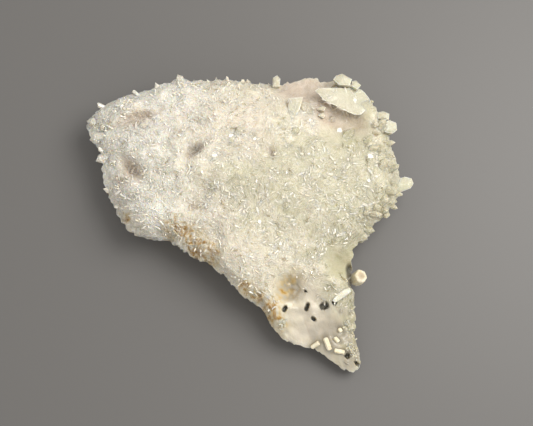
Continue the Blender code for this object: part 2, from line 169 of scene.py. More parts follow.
# Large crystals of uneven outline: the point that each is rooted towards, its peak, and the corners round
# its upper side
SLABS = (
    ((42, 46.5), (39.7, 48.3, 23.3), (26.3, 51.5, 24.4), (30.2, 47.4, 24.2), (34.3, 45.6, 24),
     (39.3, 43, 23.6), (41.9, 42, 23.2), (44.6, 42, 22.8), (46.7, 44.1, 22), (50.8, 45.1, 18),
     (49.8, 47.2, 18), (48.4, 50.1, 18.4), (46.5, 52.5, 18.8), (45.1, 53.3, 19.8), (41.7, 53.4, 21.4),
     (35.5, 53.2, 22.8), (27.9, 52.8, 24)),
    ((38, 53), (37.9, 57, 24.6), (33.7, 56.7, 23), (35.7, 54.2, 24.2), (40.1, 53.7, 24.4),
     (41.3, 56.7, 23), (37.3, 59.2, 22.4), (34.9, 58.3, 22.6)),
    ((42, 52), (43, 54.8, 24.8), (41.3, 53.3, 24.4), (43.3, 52.1, 24.2), (44.9, 54.2, 23),
     (42.9, 56.2, 23), (41.3, 55.8, 23.4)),
    ((50, 41), (54.2, 42.4, 21.4), (51.6, 41, 20.8), (56.2, 40.6, 20), (56.4, 43.3, 19.6),
     (54, 44.2, 19.8), (51.4, 43.6, 20.6)),
    ((51, 36), (57, 38, 20.8), (53.6, 39.8, 20.2), (54.4, 35.6, 20.2), (57.6, 35.1, 19),
     (59.5, 36.7, 18.8), (59.2, 39.6, 19), (56.4, 40.6, 19.8)),
    ((52, 11), (61.5, 14.4, 18.8), (56, 10.4, 17.8), (60.5, 11.4, 17.4), (64.8, 13.2, 16.6),
     (66, 15.2, 16.4), (65.2, 17.2, 16.6), (62.4, 17.8, 17.2), (57, 15.8, 18)),
    ((10.8, 52), (10.9, 56.4, 21.8), (9.2, 54.3, 21), (12.1, 54.3, 21), (12.4, 57.7, 20.2),
     (11.1, 59.3, 19.6), (9.4, 58.1, 20.2)),
    ((18, 44), (18.7, 45, 25.2), (15.8, 48.3, 25), (15.4, 43.2, 25.1), (17, 37.6, 24.8),
     (20.2, 44.1, 25), (21.4, 48.7, 24.8)),
    ((35, -28), (37, -28.9, 19.6), (32.7, -32.3, 18.8), (33.9, -33.1, 18.6), (37.1, -31.1, 18.6),
     (40.2, -28.7, 18.2), (39.6, -27.2, 18.2), (37.4, -27.9, 18.6), (34.6, -29.7, 18.8)),
    ((28.6, 43), (28.9, 44.8, 23.4), (26.9, 44.4, 22.8), (29.9, 43.6, 23), (30.7, 45, 22.8),
     (29.1, 45.8, 22.6)),
    ((29, 41), (29.5, 42, 23.2), (27.5, 41.8, 22.6), (29.7, 40.6, 22.8), (30.5, 42, 22.6),
     (29.3, 43, 22.6)),
)
# Bright edges of crystals, as points that a row of slivers runs through: x and y
BRIGHT_EDGES = (
    ((-47.6, 23.9), (-43.6, 21.9), (-41.5, 17.9), (-40.8, 15.2)),
    ((-53.6, 33.3), (-48.2, 34.6), (-42.9, 32.6), (-38.8, 29.2)),
    ((-50.3, 27.2), (-46.9, 29.9), (-42.9, 29.2)),
    ((-41.5, 15.2), (-40.1, 12.5), (-40.8, 8.4)),
    ((-33.5, 11.6), (-29.4, 12.2), (-27.4, 15.6)),
    ((-44.3, 38.8), (-40.3, 40.1), (-36.9, 38.8)),
    ((-58.4, 38.9), (-54.3, 42.9)),
    ((-48.2, 0.3), (-44.2, -2.1), (-40.5, -2.9)),
    ((27, 49.2), (30.1, 46.9), (34.1, 45.1), (39.1, 42.5), (41.7, 41.5), (44.4, 41.5)),
    ((15.7, 47.6), (15.5, 43), (17.3, 39.4)),
    ((41.2, 10.6), (43.2, 12.4), (45.6, 11.8), (46.9, 9.4), (44.9, 7), (42.4, 7)),
    ((-16, 22), (-12, 26)), ((-14.4, 20.6), (-10, 25)), ((-13, 19.4), (-8.6, 24)),
)
SLIVER_STEP, SLIVER_LENGTH = 1.0, 1.7  # spacing and length of the slivers along a bright edge
SLAB_ROOT = 6.5  # how far below its upper side a slab is rooted
SLAB_BEVEL = 0.7  # width of the bevel round a slab's upper side, which gets a painted highlight
SLAB_DRAW = 0.35  # the share of the way to its root point that its foot draws in
HIGHLIGHT_SLAB_SOUTH = -20.0  # the slab rooted south of this is painted lighter all over, as its upper side lies towards the lamp
# How much painted highlight that slab gets all over
PAINTED_SLAB_HIGHLIGHT = 0.65
OWN_SLABS = (0, 1, 2, 3, 4, 5, 6, 8)  # rows of LARGE_CRYSTALS that a slab stands for

# Gap between the cream prism and the plate, as a line seen from above: carved into the ground and painted
# dark as shade
PRISM_GAP = ((40.6, -19.0), (41.2, -25.0))
PRISM_GAP_RADIUS = 1.9
PRISM_GAP_DEPTH = 5.0
# Cream crystals: name of the piece that each replaces, root, tip, width
CREAM_PRISM = ("cream_prism", (42.4, -22.9, 6.4), (44.8, -22.0, 15.6), 5.8)
CREAM_RODS = (
    ("cream_rod_left", (24.6, -50.2), (27.8, -48.2), 1.9),
    ("cream_rod_long", (30.0, -46.4), (32.0, -51.4), 2.2),
    ("cream_rod_low", (33.6, -51.4), (38.0, -52.2), 1.9),
    ("cream_rod_short", (33.8, -46.2), (35.6, -48.2), 1.7),
    ("cream_rod_upper", (35.6, -42.6), (36.6, -44.2), 1.7),
)

# Where small grains crowd on the tail: x, y, radius
TAIL_GRAINS = (
    (41.5, -36, 2.4), (42.3, -40, 2.2), (42, -44, 2.4), (40, -42.5, 1.8), (43, -48, 2.4),
    (42, -52, 2.2), (40, -50, 1.6), (44, -55.5, 1.4), (38.6, -40.6, 1), (13, -41, 1.6),
)
GRAIN_COUNT = 260

# The hollows that show, in the form of HOLLOWS: a little off the solid's, and finer
FINE_HOLLOWS = (
    (-45.8, 39.6, 10, 2, 19, 3), (-41.5, 41.5, 3.2, 1.6, 10, 2),
    (-46.8, 19.4, 6.6, 2.2, -48, 4.5), (-21.4, 25.6, 5, 1.7, 42, 4.5),
    (38, 40, 14, 4.2, -27, 2.8), (15.5, -28, 4.6, 3.6, 60, 3.5),
    (34, -44, 6, 5, 0, 2.5), (37, -17, 5, 3.6, -30, 3.5),
    (-22, 4, 3.5, 2, 0, 1.5), (21, 54, 9, 4, 0, 2.5),
    (8.6, 25, 2.4, 1.2, -60, 2),
)

FIELD = 80.0  # half the side of the square that the grids of needles cover
NEEDLES_EACH = 2  # needles in a sheaf
NEEDLE_DEPTH = 0.5  # how deep a needle is rooted

# Grid of the ground: rings from HEART to the rim, down the broken side, and in under it
BEARINGS = 740
TOP_RINGS = 113
SIDE_RINGS = 13
UNDER_RINGS = 5
BASE_RINGS = 2
RING_SPREAD = 0.85  # less than 1 sets the rings closer together towards the rim

# Tints of the ground and needles: x, y, radius, strength
# Mauve: partly the quartz's own tint, partly painted shade in the hollows and under the large blade crystal
MAUVE_AND_SHADE_PLACES = (
    (22, 55, 11, 1), (34, 44, 7, 1), (41, 40, 6, 0.8), (-46, 39.6, 7, 0.7),
    (-47, 19, 5, 0.9), (-22, 25.5, 3.6, 0.8), (-52, 10, 9, 0.25), (-30, 32, 9, 0.3),
    (6, 4, 7, 0.5), (9, 30, 8, 0.4), (-47, -3, 7, 0.3), (4, 45, 12, 0.25),
)
# Straw: the quartz's own yellowish tint; the wide spot over the middle at (4, 14) also serves as painted
# shade where the lamp falls brightest
STRAW_PLACES = (
    (46, 50, 8, 0.9), (45, 22, 20, 0.6), (30, 5, 26, 0.55),
    (40, -30, 12, 0.5), (0, -10, 18, 0.25), (4, 14, 20, 0.8), (-10, 42, 16, 0.25),
)
# Smoky grey: partly the quartz's own tint, partly painted shade in the hollows, the notch and round the empty
# sockets
SMOKE_AND_SHADE_PLACES = (
    (22, -34, 8, 0.5), (35.5, -46.5, 4.6, 1), (31, -47, 8, 0.55), (40, -54, 6, 1),
    (16, -27, 4.4, 1), (-20, -8, 6, 0.5), (36, -36, 5, 0.4), (-21.5, 25.5, 3.4, 1),
    (26, -38, 13, 0.5), (-47, 18.6, 3.6, 0.7), (24, 55, 8, 0.5), (-44, 40.5, 3.6, 0.5),
    (8.6, 25, 2, 0.9),
)
# Green: partly the quartz's own greenish tint, partly painted shade in the hollow at (37, -17)
GREEN_AND_SHADE_PLACES = (
    (44, 32, 7, 0.5), (37, -17, 6, 0.8), (42, -42, 5.5, 1),
    (42, -52, 6, 1), (43, -47, 5, 1), (36, -5, 9, 0.35), (41, -33, 5, 0.9),
)
RUST_PLACES = (
    (-29.4, -3.9, 4.1, 0.9), (-24.4, -6.9, 4.1, 1), (-21.9, -11.4, 3.5, 1),
    (-17.4, -12.9, 3.5, 0.9), (-13.9, -15.4, 3.1, 0.8), (-1.9, -26.9, 2.9, 0.7),
    (3.6, -32.4, 3.7, 1), (9.1, -36.9, 3.5, 1), (12.1, -41.4, 3.1, 0.6),
    (17, -24, 3.4, 0.26), (14, -29, 4, 0.4), (-48.4, 0.6, 2.5, 0.6),
    (-57, 11.5, 1.8, 0.5),
)
# Places where small grains stand close together: x, y, radius, strength
GRAINY_PLACES = (
    (42.5, -30, 3.6, 0.8), (42, -37, 4, 1), (42, -45, 4.2, 1), (42.5, -53, 4.6, 1),
    (17, -26, 4.6, 0.9), (-29, -5.5, 4.4, 0.9), (-23, -10, 4.4, 0.9), (-17, -15, 4.2, 0.9),
    (-50, 0, 4, 0.7), (-44, -5, 4, 0.6), (2, -32, 4, 0.8), (8, -38, 4, 0.8),
    (13, -45, 3.4, 0.5),
)


def rim_reach(bearing):
    """How far the rim is from HEART along each bearing, in radians, read straight between its points."""
    points = np.array(RIM_POINTS) - HEART
    at = np.mod(np.arctan2(points[:, 1], points[:, 0]), 2 * math.pi)
    order = np.argsort(at)
    return np.interp(bearing, at[order], np.hypot(*points.T)[order], period=2 * math.pi)


def way_out(x, y):
    """The share of the way from HEART to the rim at which a point lies: 1 on the rim."""
    dx, dy = x - HEART[0], y - HEART[1]
    return np.hypot(dx, dy) / rim_reach(np.arctan2(dy, dx))


def oval(x, y, middle_x, middle_y, length, width, bearing):
    """Where points lie in an oval, along it and across it: 1 at its rim."""
    turn = math.radians(bearing)
    along = ((x - middle_x) * math.cos(turn) + (y - middle_y) * math.sin(turn)) / length
    return along, ((y - middle_y) * math.cos(turn) - (x - middle_x) * math.sin(turn)) / width


def westward(x):
    """How far west a point lies: 0 up to x = 4 mm, rising to 1 at -36 mm."""
    return np.clip((4.0 - x) / 40.0, 0, 1)


def top_height(x, y, hollows=HOLLOWS):
    """Height of the body's top: a level plate, plus a bell for each swell, less an oval bell for each
    hollow, less a straight fall along the tail and a squared fall towards the rim."""
    height = np.full_like(x, PLATE_TOP, dtype=float)
    for sx, sy, radius, rise in SWELLS:
        height += rise * np.exp(-((x - sx) ** 2 + (y - sy) ** 2) / radius**2)
    for *shape, depth in hollows:
        along, across = oval(x, y, *shape)
        height -= depth * np.exp(-(along**2) - across**2)
    tail = np.subtract(TAIL_TIP, TAIL_ROOT)
    share = ((x - TAIL_ROOT[0]) * tail[0] + (y - TAIL_ROOT[1]) * tail[1]) / (tail @ tail)
    height -= TAIL_DROP * np.clip(share, 0, 1)
    edge = np.clip((way_out(x, y) - EDGE_START) / (1 - EDGE_START), 0, 1)
    return height - EDGE_DROP * edge**2


def hollow_share(x, y):
    """How deep in a hollow a point lies: 1 in its middle, fading to 0 outside."""
    deepest = np.zeros_like(x, dtype=float)
    for *shape, _ in FINE_HOLLOWS:
        along, across = oval(x, y, *shape)
        deepest = np.maximum(deepest, np.exp(-(along**2) - across**2))
    return deepest


def rough_share(x, y):
    """How rough the top is: 1 over most of it, falling to 0 in the places kept smooth."""
    share = np.ones_like(x, dtype=float)
    for px, py, radius in SMOOTH_PLACES:
        share = np.minimum(share, np.clip(np.hypot(x - px, y - py) / radius - 0.6, 0, 1))
    return share


def spray(x, y):
    """The bearing away from the middle of the nearest swell, in radians, and how far out on it a point
    is, from 0 at the middle to 1."""
    swells = np.array(SWELLS)
    dx, dy = x[:, None] - swells[:, 0], y[:, None] - swells[:, 1]
    away = np.hypot(dx, dy) / swells[:, 2]
    nearest = np.argmin(away, axis=1)
    row = np.arange(x.size)
    return np.arctan2(dy[row, nearest], dx[row, nearest]), np.clip(away[row, nearest], 0, 1)


def triangular_grid(step):
    """Points over the whole plate, each step away from its six neighbours."""
    x, y = np.meshgrid(np.arange(-70, 70, step), np.arange(-62, 62, step * 0.866))
    x[1::2] += step / 2
    return x.ravel(), y.ravel()


def noise(x, y, size, seed):
    """Value noise: random values from -1 to 1 at the corners of squares of a size, and between them the
    smooth cubic 3f^2 - 2f^3 of the way across."""
    table = np.random.default_rng(seed).uniform(-1, 1, (64, 64))
    u, v = x / size, y / size
    i, j = np.floor(u).astype(int), np.floor(v).astype(int)
    fu, fv = u - i, v - j
    fu, fv = fu * fu * (3 - 2 * fu), fv * fv * (3 - 2 * fv)
    low = table[i % 64, j % 64] * (1 - fu) + table[(i + 1) % 64, j % 64] * fu
    high = table[i % 64, (j + 1) % 64] * (1 - fu) + table[(i + 1) % 64, (j + 1) % 64] * fu
    return low * (1 - fv) + high * fv


def druse(x, y, size, seed):
    """Close-set crystal heads: over each seed of a jittered square grid stands a six-sided pyramid, its
    height falling by its steepness times the greatest of its three distances across, and the surface is
    the highest of the nine nearest. Runs from about -1 to 1."""
    rng = np.random.default_rng(seed)
    jitter = rng.uniform(-0.42, 0.42, (64, 64, 2))
    turn = rng.uniform(0, math.pi / 3, (64, 64))
    lean = rng.uniform(-0.7, 0.7, (64, 64, 2))
    rise = rng.uniform(-0.2, 1.0, (64, 64))
    u, v = x / size, y / size
    i, j = np.floor(u).astype(int), np.floor(v).astype(int)
    best = np.full(np.shape(x), -9.0)
    for a in (-1, 0, 1):
        for b in (-1, 0, 1):
            ii, jj = (i + a) % 64, (j + b) % 64
            dx = u - (i + a + 0.5 + jitter[ii, jj, 0])
            dy = v - (j + b + 0.5 + jitter[ii, jj, 1])
            across = np.zeros(np.shape(x))
            for k in range(3):
                side = turn[ii, jj] + k * math.pi / 3
                across = np.maximum(across, np.abs(dx * np.cos(side) + dy * np.sin(side)))
            leaned = dx * lean[ii, jj, 0] + dy * lean[ii, jj, 1]
            best = np.maximum(best, rise[ii, jj] - 2.0 * across + leaned)
    return np.clip(best, -1.2, 1.2)


def needle_relief(x, y, spacing, length, width, lift, seed):
    """The roofs of close-set needles, as a height over the plate. One needle lies at each cell of a jittered
    grid. Its roof rises along the needle by its lift and tilts across it by its roll, falls away beyond a
    flat strip down the middle, steeply past its tip, and steeply behind its root. The surface is the
    highest of the roofs round about."""
    rng = np.random.default_rng(seed)
    count = int(2 * FIELD / spacing) + 1
    gx, gy = np.meshgrid(*[(np.arange(count) + 0.5) * spacing - FIELD] * 2, indexing="ij")
    gx, gy = (grid + rng.uniform(-0.45, 0.45, grid.shape) * spacing for grid in (gx, gy))
    away, _ = spray(gx.ravel(), gy.ravel())
    bearing = away.reshape(gx.shape) + 2.0 * noise(gx, gy, 8.0, seed + 1) + rng.normal(0, 0.8, gx.shape)
    cosine, sine = np.cos(bearing), np.sin(bearing)
    long, wide = rng.uniform(*length, gx.shape), rng.uniform(*width, gx.shape)
    rise, roll = np.tan(rng.uniform(*lift, gx.shape)), rng.uniform(-0.45, 0.45, gx.shape)
    start = rng.uniform(-0.7, 0.5, gx.shape)
    i, j = np.floor((x + FIELD) / spacing).astype(int), np.floor((y + FIELD) / spacing).astype(int)
    near = math.ceil(0.5 * length[1] / spacing + 0.45)
    best = np.full(np.shape(x), -1.5)
    for a in range(-near, near + 1):
        for b in range(-near, near + 1):
            at = np.clip(i + a, 0, count - 1), np.clip(j + b, 0, count - 1)
            dx, dy = x - gx[at], y - gy[at]
            along, across = dx * cosine[at] + dy * sine[at], dy * cosine[at] - dx * sine[at]
            roof = start[at] + along * rise[at] + across * roll[at]
            roof -= 1.6 * np.maximum(0, np.abs(across) - 0.22 * wide[at])
            roof -= 1.5 * np.maximum(0, along - 0.5 * (long - wide)[at])
            roof -= 3.0 * np.maximum(0, -along - 0.5 * long[at])
            best = np.maximum(best, roof)
    return best


def places(x, y, spots):
    """How strongly a tint shows: the sum of a bell for each of its places, up to 1."""
    total = np.zeros_like(x, dtype=float)
    for sx, sy, radius, strength in spots:
        total += strength * np.exp(-((x - sx) ** 2 + (y - sy) ** 2) / radius**2)
    return np.clip(total, 0, 1)


def tints(x, y):
    """The tints at points of the plate, by attribute name: each set of places, broken up by noise."""
    patchy = noise(x, y, 5.0, 31) * 0.35 + noise(x, y, 2.2, 32) * 0.2
    drift = 0.25 * noise(x, y, 13.0, 35) - 0.12 * westward(x)
    speckled = noise(x, y, 1.0, 33) + noise(x, y, 2.6, 34) * 0.6
    # Painted shade in the low places between the close-set crystal heads of the grainy places
    between = places(x, y, GRAINY_PLACES) * np.clip(0.3 - druse(x, y, 1.9, 17), 0, 1)
    rust = np.clip(places(x, y, RUST_PLACES) * (0.75 + 1.5 * speckled), 0, 1)
    eastward = np.clip((x + 10.0) / 60.0, 0, 1)
    # The hollows add painted shade to the mauve tint
    mauve_and_shade = places(x, y, MAUVE_AND_SHADE_PLACES) * (1 + patchy) + 0.8 * hollow_share(x, y) + drift
    straw = (places(x, y, STRAW_PLACES) + 0.7 * eastward) * (1 + patchy) - drift
    smoke_and_shade = places(x, y, SMOKE_AND_SHADE_PLACES) * (0.8 + 0.5 * noise(x, y, 2.6, 36)) + 0.5 * between
    return {
        # Painted light: whiter towards the west, lifting the west slopes, which lie away from the lamp
        "white": np.clip((-12.0 - x) / 20.0, 0, 1) * (1 - 0.7 * np.clip(mauve_and_shade, 0, 1)),
        "mauve_and_shade": np.clip(mauve_and_shade, 0, 1),
        "straw": np.clip(straw * (1 - 0.8 * np.clip(mauve_and_shade, 0, 1)), 0, 1),
        # The green tint also takes the painted shade between the grains
        "green": np.clip(places(x, y, GREEN_AND_SHADE_PLACES) * (1 + 1.2 * patchy) + 0.8 * between, 0, 1),
        "smoke_and_shade": np.clip(smoke_and_shade, 0, 1),
        "rust": rust,
        "iron": np.clip(2.5 * (rust - 0.6), 0, 1),
    }


def off_line(x, y, start, end):
    """Distance of points from a straight line between two points, seen from above."""
    ax, ay = end[0] - start[0], end[1] - start[1]
    share = np.clip(((x - start[0]) * ax + (y - start[1]) * ay) / (ax * ax + ay * ay), 0, 1)
    return np.hypot(x - start[0] - share * ax, y - start[1] - share * ay)


def rod_bed(x, y):
    """Depth of the shallow trench that each cream rod lies in: a bell across it, a little wider than it."""
    depth = np.zeros_like(x, dtype=float)
    for _, root, tip, width in CREAM_RODS:
        depth = np.maximum(depth, 0.45 * width * np.exp(-((off_line(x, y, root, tip) / (0.8 * width)) ** 2)))
    return depth


def prism_gap(x, y):
    """How far into the gap beside the cream prism a point lies: 1 in its middle, fading to 0. It sets both
    the gap's depth and its painted shade.
    """
    return np.exp(-((off_line(x, y, *PRISM_GAP) / PRISM_GAP_RADIUS) ** 4))


def pits(x, y):
    """Depth of the empty sockets: straight-sided ovals, full depth inside and none outside."""
    depth = np.zeros_like(x, dtype=float)
    for middle_x, middle_y, length, width, bearing in EMPTY_SOCKETS:
        along, across = oval(x, y, middle_x, middle_y, 0.5 * length, 0.5 * width, bearing)
        radius = (np.abs(along) ** 3 + np.abs(across) ** 3) ** (1 / 3)
        depth = np.maximum(depth, SOCKET_DEPTH * np.clip((1.25 - radius) / 0.35, 0, 1))
    return depth


def coarseness(x):
    """How strongly the crystals of the ground stand out: most in the west, under half as much in the east."""
    return 0.45 + 0.75 * westward(x)


def ground_height(x, y):
    """The broad top, raised by 2.4 mm where it is rough, with lumps that grow westward and two sizes of
    needles on it, a faint unevenness where it is smooth, and close-set crystal heads in the grainy places,
    less the empty sockets, the rods' beds and the gap beside the prism."""
    rough = rough_share(x, y)
    height = top_height(x, y, FINE_HOLLOWS) + 2.4 * rough * np.clip((1 - way_out(x, y)) / 0.12, 0, 1)
    height += rough * (0.45 + 0.6 * westward(x)) * noise(x, y, 6.0, 11)
    height += rough * (0.12 + 0.4 * westward(x)) * noise(x, y, 3.0, 12)
    coarse = needle_relief(x, y, 2.4, (4.0, 8.0), (0.9, 2.2), (0.05, 0.40), 13)
    fine = needle_relief(x, y, 1.4, (2.4, 4.6), (0.6, 1.3), (0.05, 0.55), 14)
    height += rough * 0.32 * coarseness(x) * np.maximum(coarse, fine)
    height += (1 - rough) * (0.35 * noise(x, y, 4.5, 15) + 0.12 * noise(x, y, 1.3, 16))
    height += places(x, y, GRAINY_PLACES) * (0.75 * druse(x, y, 1.9, 17) + 0.3 * noise(x, y, 0.9, 18))
    return height - pits(x, y) - rod_bed(x, y) - PRISM_GAP_DEPTH * prism_gap(x, y)


def surface_height(x, y):
    """Height of the ground, or of a slab's upper side where one lies over it."""
    height = ground_height(x, y)
    for _, peak, *ring in SLABS:
        ring = np.array(ring)
        reach = np.hypot(*(ring[:, :2] - peak[:2]).T)
        bearing = np.arctan2(ring[:, 1] - peak[1], ring[:, 0] - peak[0])
        order = np.argsort(bearing)
        toward = np.arctan2(y - peak[1], x - peak[0])
        edge = np.interp(toward, bearing[order], reach[order], period=2 * math.pi)
        level = np.interp(toward, bearing[order], ring[order, 2], period=2 * math.pi)
        share = np.hypot(x - peak[0], y - peak[1]) / edge
        height = np.where(share < 1.05, np.maximum(height, peak[2] + (level - peak[2]) * share), height)
    return height


def make_mesh(name, points, corners, sides, values=None):
    """A mesh from points in millimetres, the corner list of its faces and how many corners each has, with
    one float attribute on the points for each entry of values."""
    mesh = bpy.data.meshes.new(name)
    mesh.vertices.add(len(points))
    mesh.vertices.foreach_set("co", (points * MM).astype(np.float32).ravel())
    mesh.loops.add(len(corners))
    mesh.loops.foreach_set("vertex_index", corners.astype(np.int32))
    mesh.polygons.add(len(sides))
    mesh.polygons.foreach_set("loop_start", (np.cumsum(sides) - sides).astype(np.int32))
    mesh.update(calc_edges=True)
    for key, value in (values or {}).items():
        mesh.attributes.new(key, "FLOAT", "POINT").data.foreach_set("value", value.astype(np.float32))
    return mesh


def make_piece(name, mesh, finish, replaced=()):
    """Puts a piece in the scene with its finish, riding on the plate's one body."""
    old = bpy.data.objects.get(name)
    if old:
        bpy.data.objects.remove(old, do_unlink=True)
    piece = bpy.data.objects.new(name, mesh)
    bpy.context.scene.collection.objects.link(piece)
    mesh.materials.append(finish)
    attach(piece, "root")
    if replaced:
        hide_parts(*replaced)
    return piece


def make_crystals(name, points, values, finish):
    """A piece of many crystals, from their corners and one number per crystal for each attribute."""
    return make_piece(name, crystals_mesh(name, points, values), finish)


def tube_faces(rings, around, turned=False):
    """The faces of a surface of rings with as many corners each, joined by four-cornered faces and closed at
    each end by a fan round a point that follows the rings: the corner list and the faces' corner counts.
    Faces look outwards where the rings run anticlockwise as seen from their first end. turned is for rings
    that do so as seen from their last end."""
    near = np.arange(around)
    after = (near + 1) % around
    i = np.arange(rings - 1)[:, None] * around
    quads = np.stack([i + near, i + around + near, i + around + after, i + after], -1).reshape(-1, 4)
    first, last = rings * around, (rings - 1) * around
    fan_near = np.stack([np.full(around, first), near, after], 1)
    fan_far = np.stack([np.full(around, first + 1), last + after, last + near], 1)
    if turned:
        quads, fan_near, fan_far = quads[:, [0, 3, 2, 1]], fan_near[:, ::-1], fan_far[:, ::-1]
    corners = np.concatenate([quads.ravel(), fan_near.ravel(), fan_far.ravel()])
    return corners, np.concatenate([np.full(len(quads), 4), np.full(2 * around, 3)])


def rim_bearings():
    """Bearings of points spread evenly along the rim's length, so that the long tail gets its share."""
    fine = np.linspace(0, 2 * math.pi, 4000)
    reach = rim_reach(fine)
    steps = np.hypot(np.diff(reach * np.cos(fine)), np.diff(reach * np.sin(fine)))
    run = np.concatenate([[0.0], np.cumsum(steps)])
    return np.interp(np.linspace(0, run[-1], BEARINGS, endpoint=False), run, fine)


def ground_rings():
    """The rings of the ground's closed surface, as x, y and z arrays of ring by bearing. Over the top, a
    ring is the rim drawn in to a share of the way out, at ground_height. Down the broken side the share
    stays near 1 and the height runs to the rim's low line, both broken up by noise along the rim and down
    it. Under the plate the share runs in to the resting edge as the height runs to 0, and then to the
    middle at height 0."""
    bearing = rim_bearings()[None, :]
    reach = rim_reach(bearing)
    run = np.arange(BEARINGS)[None, :] * 0.58  # about the distance along the rim, in millimetres

    def place(share, out=0.0):
        radius = reach * share + out
        return HEART[0] + radius * np.cos(bearing), HEART[1] + radius * np.sin(bearing)

    share = np.linspace(0, 1, TOP_RINGS + 1)[1:, None] ** RING_SPREAD
    teeth = 0.7 * noise(run, 0 * run, 2.3, 21) + 0.5 * noise(run, 0 * run, 1.0, 22) - 0.45
    x, y = place(share, teeth * np.clip((share - 0.93) / 0.07, 0, 1) ** 2)
    z = ground_height(x, y)

    wander = 1 + 0.25 * np.sin(5 * bearing + 0.7) + 0.15 * np.sin(11 * bearing + 2.1)
    rim_x, rim_y = place(1.0)
    low = RIM_LOW * wander * top_height(rim_x, rim_y)
    down = np.linspace(0, 1, SIDE_RINGS + 1)[1:, None]
    lean = run + 5.0 * down
    chipped = 1.3 * druse(lean, 15 * down - 0.3 * run, 4.2, 23) - 1.1
    chipped += 0.6 * noise(lean, 15 * down + 0 * run, 2.0, 25)
    side_x, side_y = place(1 - 0.022 * down, teeth * (1 - down) ** 3 + chipped * np.sin(math.pi * 0.5 * down))
    side_z = z[-1:] * (1 - down) + low * down

    resting = RESTING_SHARE * (1 + 0.04 * np.sin(9 * bearing))
    under = np.linspace(0, 1, UNDER_RINGS + 1)[1:, None]
    broken = 0.8 * druse(run + 0 * under, 22 * under + 0 * run, 4.0, 24) * (1 - under)
    under_x, under_y = place(0.978 * (1 - under) + resting * under, chipped[-1:] * (1 - under))
    under_z = np.maximum(low * (1 - under) ** 1.5 + broken * np.sin(math.pi * under), 0.0)
    base = np.linspace(1, 0, BASE_RINGS + 1)[1:-1, None]
    base_x, base_y = place(resting * base)
    rings = ((x, y, z), (side_x, side_y, side_z), (under_x, under_y, under_z),
             (base_x, base_y, np.zeros_like(base_x)))
    return [np.concatenate(part) for part in zip(*rings)]


def ground_mesh():
    """The ground: its rings as one closed surface. One attribute is painted shade, from 0 to 1: how deep in
    an empty socket a point lies, plus the gap beside the prism and more faintly the rods' beds. Attribute
    rough is how far the facets of the finish stand out there."""
    x, y, z = ground_rings()
    middle = ground_height(*np.array(HEART)[:, None])
    points = np.concatenate([np.stack([x, y, z], -1).reshape(-1, 3), [(*HEART, middle[0]), (*HEART, 0.0)]])
    corners, sides = tube_faces(len(x), BEARINGS)
    values = tints(points[:, 0], points[:, 1])
    depth = np.zeros(len(points))
    top = slice(0, TOP_RINGS * BEARINGS)
    x, y = points[top, 0], points[top, 1]
    # Painted shade: strongest in the empty sockets and the gap beside the prism, faint in the rods' beds
    depth[top] = np.clip(pits(x, y) / SOCKET_DEPTH + 1.3 * prism_gap(x, y) + 0.4 * rod_bed(x, y), 0, 1)
    values["pit_shade"] = depth
    values["rough"] = np.full(len(points), 0.6)
    least = 0.15 + 0.35 * np.clip((y + 25.0) / 15.0, 0, 1)
    values["rough"][top] = (0.44 + 0.46 * coarseness(x)) * np.maximum(rough_share(x, y), least)
    values["rough"][top] *= 1 - 0.4 * hollow_share(x, y)
    return make_mesh("quartz_ground", points, corners, sides, values)


def frame_along(axis):
    """Two directions square to each axis: one that lies level, and one that points up as far as it can."""
    upright = np.array([0.0, 0.0, 1.0]) - axis * axis[:, 2:3]
    upright /= np.linalg.norm(upright, axis=1, keepdims=True)
    return np.cross(upright, axis), upright


def crystal_points(root, tip, width, thickness, roll, slant, head, uneven, sides=6):
    """Corners of many crystals at once, as crystal by corner by xyz. Each has a buried point at its root, a
    ring of corners a fifth of the way along, a ring at its shoulders, and an apex. A corner is the axis
    point plus half the width times the cosine across it and the sine times the thickness up it, turned by
    the roll. The shoulders stand head short of the tip, each off by its own share of uneven, on edges that
    draw together by a twelfth, so the side faces stay flat."""
    axis = tip - root
    length = np.linalg.norm(axis, axis=1, keepdims=True)
    axis = axis / length
    level, upright = frame_along(axis)
    angle = np.arange(sides) * 2 * math.pi / sides
    flat_x, flat_y = np.cos(angle)[None, :], thickness[:, None] * np.sin(angle)[None, :]
    cosine, sine = np.cos(roll)[:, None], np.sin(roll)[:, None]
    across, up = flat_x * cosine - flat_y * sine, flat_x * sine + flat_y * cosine
    corner = 0.5 * width[:, None, None] * (
        across[..., None] * level[:, None, :] + up[..., None] * upright[:, None, :]
    )
    near = root[:, None, :] + axis[:, None, :] * 0.2 * length[:, None, :] + corner
    share = np.clip(1 - head[:, None] / length + uneven, 0.3, 0.97)[..., None]
    shoulder = root[:, None, :] + axis[:, None, :] * length[:, None, :] * share + corner * (1 - share / 12)
    apex = tip + level * (0.5 * width * slant)[:, None]
    return np.concatenate([root[:, None, :], near, shoulder, apex[:, None, :]], axis=1)


def crystals_mesh(name, points, values):
    """Many crystals as one mesh: each has a fan of triangles round its root, flat sides and a fan of
    triangles to its apex. values holds one number per crystal for each attribute."""
    count, corners_each = points.shape[:2]
    sides = (corners_each - 2) // 2
    k = np.arange(sides)
    after = (k + 1) % sides
    root_fan = np.stack([1 + after, 1 + k, 0 * k], 1)
    side = np.stack([1 + k, 1 + after, 1 + sides + after, 1 + sides + k], 1)
    apex_fan = np.stack([1 + sides + k, 1 + sides + after, 0 * k + corners_each - 1], 1)
    template = np.concatenate([root_fan.ravel(), side.ravel(), apex_fan.ravel()])
    sizes = np.concatenate([np.full(sides, 3), np.full(sides, 4), np.full(sides, 3)])
    corners = (np.arange(count)[:, None] * corners_each + template).ravel()
    spread = {key: np.repeat(value, corners_each) for key, value in values.items()}
    mesh = make_mesh(name, points.reshape(-1, 3), corners, np.tile(sizes, count), spread)
    mesh.shade_flat()
    return mesh


